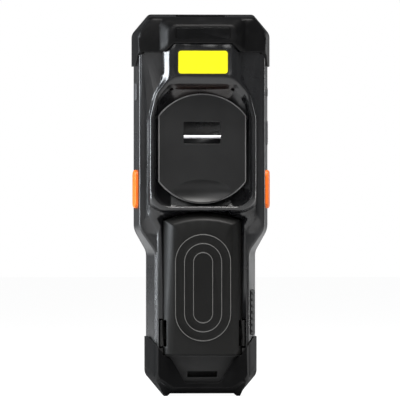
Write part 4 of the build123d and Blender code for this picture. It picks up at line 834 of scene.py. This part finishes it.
class TERMINAL_OT_keys(bpy.types.Operator):
    """Finish the side keys, the keypad and the port flap."""
    bl_idname = "terminal.keys"
    bl_label = "Finish keys"

    def execute(self, context):
        colours, sizes = context.scene.terminal_colours, context.scene.terminal_sizes
        orange = moulded("orange_plastic", colours.accent, roughness=0.38, wear=0.0,
                         rounding=sizes.key_round)
        dark = moulded("key_plastic", colours.key, roughness=0.5, wear=0.3,
                       rounding=sizes.key_round)
        for node, slot in SLOT_OF.items():
            if slot in ("trigger", "scan_key"):
                dressed(node, orange)
            elif slot == "key":
                dressed(node, dark)
        paint("key_mat", rubber("mat_silicone", SILICONE, roughness=0.5))
        flap = rubber("flap_rubber", colours.bumper, roughness=0.55, rounding=sizes.key_round)
        dressed("port_flap", flap)
        paint("io_connector", metal("socket_steel", SOCKET_STEEL))
        mark_keys(colours, sizes)
        rib_rocker(dark)
        return {"FINISHED"}


DOT_PITCH, DOT_RADIUS = 1.9 * MM, 0.6 * MM
RING_RADIUS, RING_LINE = 1.7 * MM, 0.42 * MM
RING_START, RING_END = math.radians(125), math.radians(415)
RING_STROKE = (0.0, 1.5 * MM, RING_LINE, 1.9 * MM)     # middle, width and height
ARROW_TIP, ARROW_BACK, ARROW_HALF = 1.9 * MM, 1.3 * MM, 1.7 * MM
CALL_BAR = (0.0, 0.0, 4.6 * MM, 1.5 * MM)


def mark_keys(colours, sizes):
    """Plain numbers on the number keys and plain marks on the others."""
    legend = paint_film("legend_print", colours.legend)
    for index, sign in enumerate("123456789*0#", 1):
        digit(f"digit_key_{index:02d}", sign, sizes.digit_height, legend)
    for index in range(1, 5):
        dots = [disc((dot - (index - 1) / 2) * DOT_PITCH, 0.0, DOT_RADIUS) for dot in range(index)]
        printed(f"function_dots_{index}", f"function_key_{index}", dots, legend)
    ring = arc_strokes(RING_RADIUS, RING_LINE, RING_START, RING_END)
    printed("power_mark", "power_key", ring + [stroke(*RING_STROKE)], legend)
    for name, side in (("escape", 1), ("enter", -1)):
        arrow = [(-side * ARROW_TIP, 0.0), (side * ARROW_BACK, -ARROW_HALF),
                 (side * ARROW_BACK, ARROW_HALF)]
        printed(f"{name}_mark", f"{name}_key", [arrow], legend)
    for name, colour in (("call", CALL_GREEN), ("end", END_RED)):
        printed(f"{name}_mark", f"{name}_key", [stroke(*CALL_BAR)],
                paint_film(f"{name}_print", colour))


FLANK_SLOPE = math.atan(2.6 / 13.5)     # how far the flank comes in over its depth
RIB_COUNT = 7
RIB_PITCH, RIB_WIDTH, RIB_LENGTH, RIB_RISE = 1.7 * MM, 0.55 * MM, 2.6 * MM, 0.5 * MM
RIB_SUNK = 0.35 * MM                    # how deep the ribs' middle lies under the key's edge


def rib_rocker(material):
    """Finger ribs along the volume rocker, on its sloping face."""
    centre, outer = middle("volume_rocker"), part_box("volume_rocker")[1][0]
    place = Vector((outer - RIB_SUNK, centre.y, centre.z))
    ribs = rib_row("rocker_ribs", RIB_COUNT, RIB_PITCH, RIB_WIDTH, RIB_LENGTH, RIB_RISE,
                   (0.0, math.pi / 2, 0.0), place, material)
    turn = Matrix.Rotation(-FLANK_SLOPE, 4, "Z")
    ribs.data.transform(Matrix.Translation(place) @ turn @ Matrix.Translation(-place))
    adopt(ribs, "volume_rocker")


class TERMINAL_OT_inside(bpy.types.Operator):
    """Finish the screen and what the shells hold."""
    bl_idname = "terminal.inside"
    bl_label = "Finish screen and inside"

    def execute(self, context):
        dressed("touch_glass", tinted("touch_glass", GLASS))
        paint("lcd_module", gloss("display_back", DISPLAY))
        dark = moulded("component_plastic", COMPONENT, roughness=0.5)
        for node in ("speaker", "scan_engine", "contact_block"):
            paint(node, dark)
        paint("display_gasket", rubber("gasket_foam", GASKET, roughness=0.8))
        mask = board("solder_mask", SOLDER_MASK)
        for node in ("main_board", "keypad_board"):
            paint(node, mask)
        zinc = metal("zinc_screw", ZINC, roughness=0.35)
        for node in ("housing_screws", "board_screws", "plate_screws"):
            paint(node, zinc)
        paint("dock_contacts", metal("dock_gold", GOLD, roughness=0.2))
        return {"FINISHED"}


# Each softbox's place, its width and height in metres, and its colour.
SOFTBOXES = {
    "key": ((-0.85, 0.08, 0.25), (0.22, 0.8), (0.90, 0.95, 1.0)),
    "rim": ((0.7, 0.6, 0.14), (0.2, 0.7), (1.0, 1.0, 1.0)),
    "top": ((0.12, -0.38, 1.05), (0.4, 0.4), (1.0, 0.98, 0.96)),
    "fill": ((-0.35, -1.1, 0.85), (0.8, 0.8), (1.0, 1.0, 1.0)),
}
LAMP_AIM = Vector((0, 0, 0.115))
CAMERA_AIM = Vector((-0.0009, 0.0, 0.1148))
SENSOR = 36.0                           # the camera's sensor in millimetres
FAR_END = 50.0                          # how far the camera sees, in metres
SKY_TINT = (0.93, 0.96, 1.0, 1.0)
WHITE = (1.0, 1.0, 1.0, 1.0)
FLOOR_PAINT = (0.82, 0.82, 0.82, 1.0)


class TERMINAL_OT_stage(bpy.types.Operator):
    """Make the floor, the lights, the world and the camera."""
    bl_idname = "terminal.stage"
    bl_label = "Set the stage"

    def execute(self, context):
        scene, settings = context.scene, context.scene.terminal_stage
        add_floor(settings)
        for name, (place, size, colour) in SOFTBOXES.items():
            power = getattr(settings, f"{name}_power")
            add_softbox(f"{name}_light", place, size, power, colour)
        scene.world = studio_world(settings)
        scene.view_settings.view_transform = "Standard"
        add_camera(settings)
        return {"FINISHED"}


def white_share(maker, settings):
    """1 as the camera sees a surface, less as a mirror or glass does, 0 for its light."""
    path = maker.tree.nodes.new("ShaderNodeLightPath")
    camera, mirror, glass = (Wire(maker, path.outputs[f"Is {kind} Ray"])
                             for kind in ("Camera", "Glossy", "Transmission"))
    return camera + (mirror + glass) * settings.mirror_share


def studio_world(settings):
    """A soft even light that looks plain white."""
    world = bpy.data.worlds.new("studio")
    world.use_nodes = True
    tree = world.node_tree
    soft, white = tree.nodes["Background"], tree.nodes.new("ShaderNodeBackground")
    soft.inputs["Color"].default_value = SKY_TINT
    soft.inputs["Strength"].default_value = settings.world_strength
    white.inputs["Color"].default_value = WHITE
    share = white_share(Maker(tree), settings)
    mixed_shader(tree, share, soft, white, tree.nodes["World Output"])
    return world


def mixed_shader(tree, share, first, second, out):
    """Sends first to an output where share is 0, and second where it is 1."""
    mix = tree.nodes.new("ShaderNodeMixShader")
    for source, socket in ((share.socket, 0), (first.outputs[0], 1), (second.outputs[0], 2)):
        tree.links.new(source, mix.inputs[socket])
    tree.links.new(mix.outputs[0], out.inputs[0])


def add_floor(settings):
    """A pale floor that shows white and keeps the object's shadow."""
    half = settings.floor_half
    mesh = bpy.data.meshes.new("floor")
    corners = [(-half, -half, 0), (half, -half, 0), (half, half, 0), (-half, half, 0)]
    mesh.from_pydata(corners, [], [(0, 1, 2, 3)])
    floor = new_piece("floor", mesh)
    finish = Finish("floor_white", roughness=0.9, Base_Color=FLOOR_PAINT)
    glow = finish.tree.nodes.new("ShaderNodeEmission")
    glow.inputs["Strength"].default_value = settings.floor_glow
    share = white_share(finish, settings) * settings.floor_share
    mixed_shader(finish.tree, share, finish.shader, glow, finish.out)
    mesh.materials.append(finish.material)


def placed(thing, place, heading):
    """Puts a lamp or the camera in its place, looking along heading."""
    turn = heading.to_track_quat("-Z", "Y").to_matrix().to_4x4()
    bpy.context.scene.collection.objects.link(thing)
    thing.matrix_world = Matrix.Translation(place) @ turn


def add_softbox(name, place, size, power, colour):
    """A rectangular lamp that shines at the middle of the object."""
    data = bpy.data.lights.new(name, "AREA")
    data.shape = "RECTANGLE"
    data.size, data.size_y = size
    data.energy = power
    data.color = colour
    placed(bpy.data.objects.new(name, data), place, LAMP_AIM - Vector(place))


def add_camera(settings):
    """A far camera that looks level at the object's back."""
    data = bpy.data.cameras.new("camera")
    data.sensor_width = SENSOR
    data.lens = SENSOR * settings.distance / settings.view_height
    data.clip_end = FAR_END
    camera = bpy.data.objects.new("camera", data)
    back = Vector((math.sin(settings.azimuth), -math.cos(settings.azimuth), 0.0))
    placed(camera, CAMERA_AIM + back * settings.distance, -back)
    bpy.context.scene.camera = camera


class TERMINAL_PT_panel(bpy.types.Panel):
    """The terminal's finish in the sidebar."""
    bl_label = "Data Terminal"
    bl_idname = "TERMINAL_PT_panel"
    bl_space_type = "VIEW_3D"
    bl_region_type = "UI"
    bl_category = "Terminal"

    def draw(self, context):
        for operator in OPERATORS:
            self.layout.operator(operator.bl_idname)
        for name in GROUPS:
            group = getattr(context.scene, name)
            box = self.layout.box()
            for setting in group.__annotations__:
                box.prop(group, setting)


OPERATORS = (TERMINAL_OT_shells, TERMINAL_OT_bumpers, TERMINAL_OT_battery, TERMINAL_OT_keys,
             TERMINAL_OT_inside, TERMINAL_OT_stage)
GROUPS = {
    "terminal_colours": TerminalColours,
    "terminal_sizes": TerminalSizes,
    "terminal_stage": TerminalStage,
}


def register():
    for group in GROUPS.values():
        bpy.utils.register_class(group)
    for name, group in GROUPS.items():
        setattr(bpy.types.Scene, name, PointerProperty(type=group))
    for operator in OPERATORS:
        bpy.utils.register_class(operator)
    bpy.utils.register_class(TERMINAL_PT_panel)


def unregister():
    bpy.utils.unregister_class(TERMINAL_PT_panel)
    for operator in reversed(OPERATORS):
        bpy.utils.unregister_class(operator)
    for name, group in GROUPS.items():
        delattr(bpy.types.Scene, name)
        bpy.utils.unregister_class(group)


def main():
    register()
    bpy.ops.terminal.shells()
    bpy.ops.terminal.bumpers()
    bpy.ops.terminal.battery()
    bpy.ops.terminal.keys()
    bpy.ops.terminal.inside()
    bpy.ops.terminal.stage()


if __name__ == "__main__":
    main()
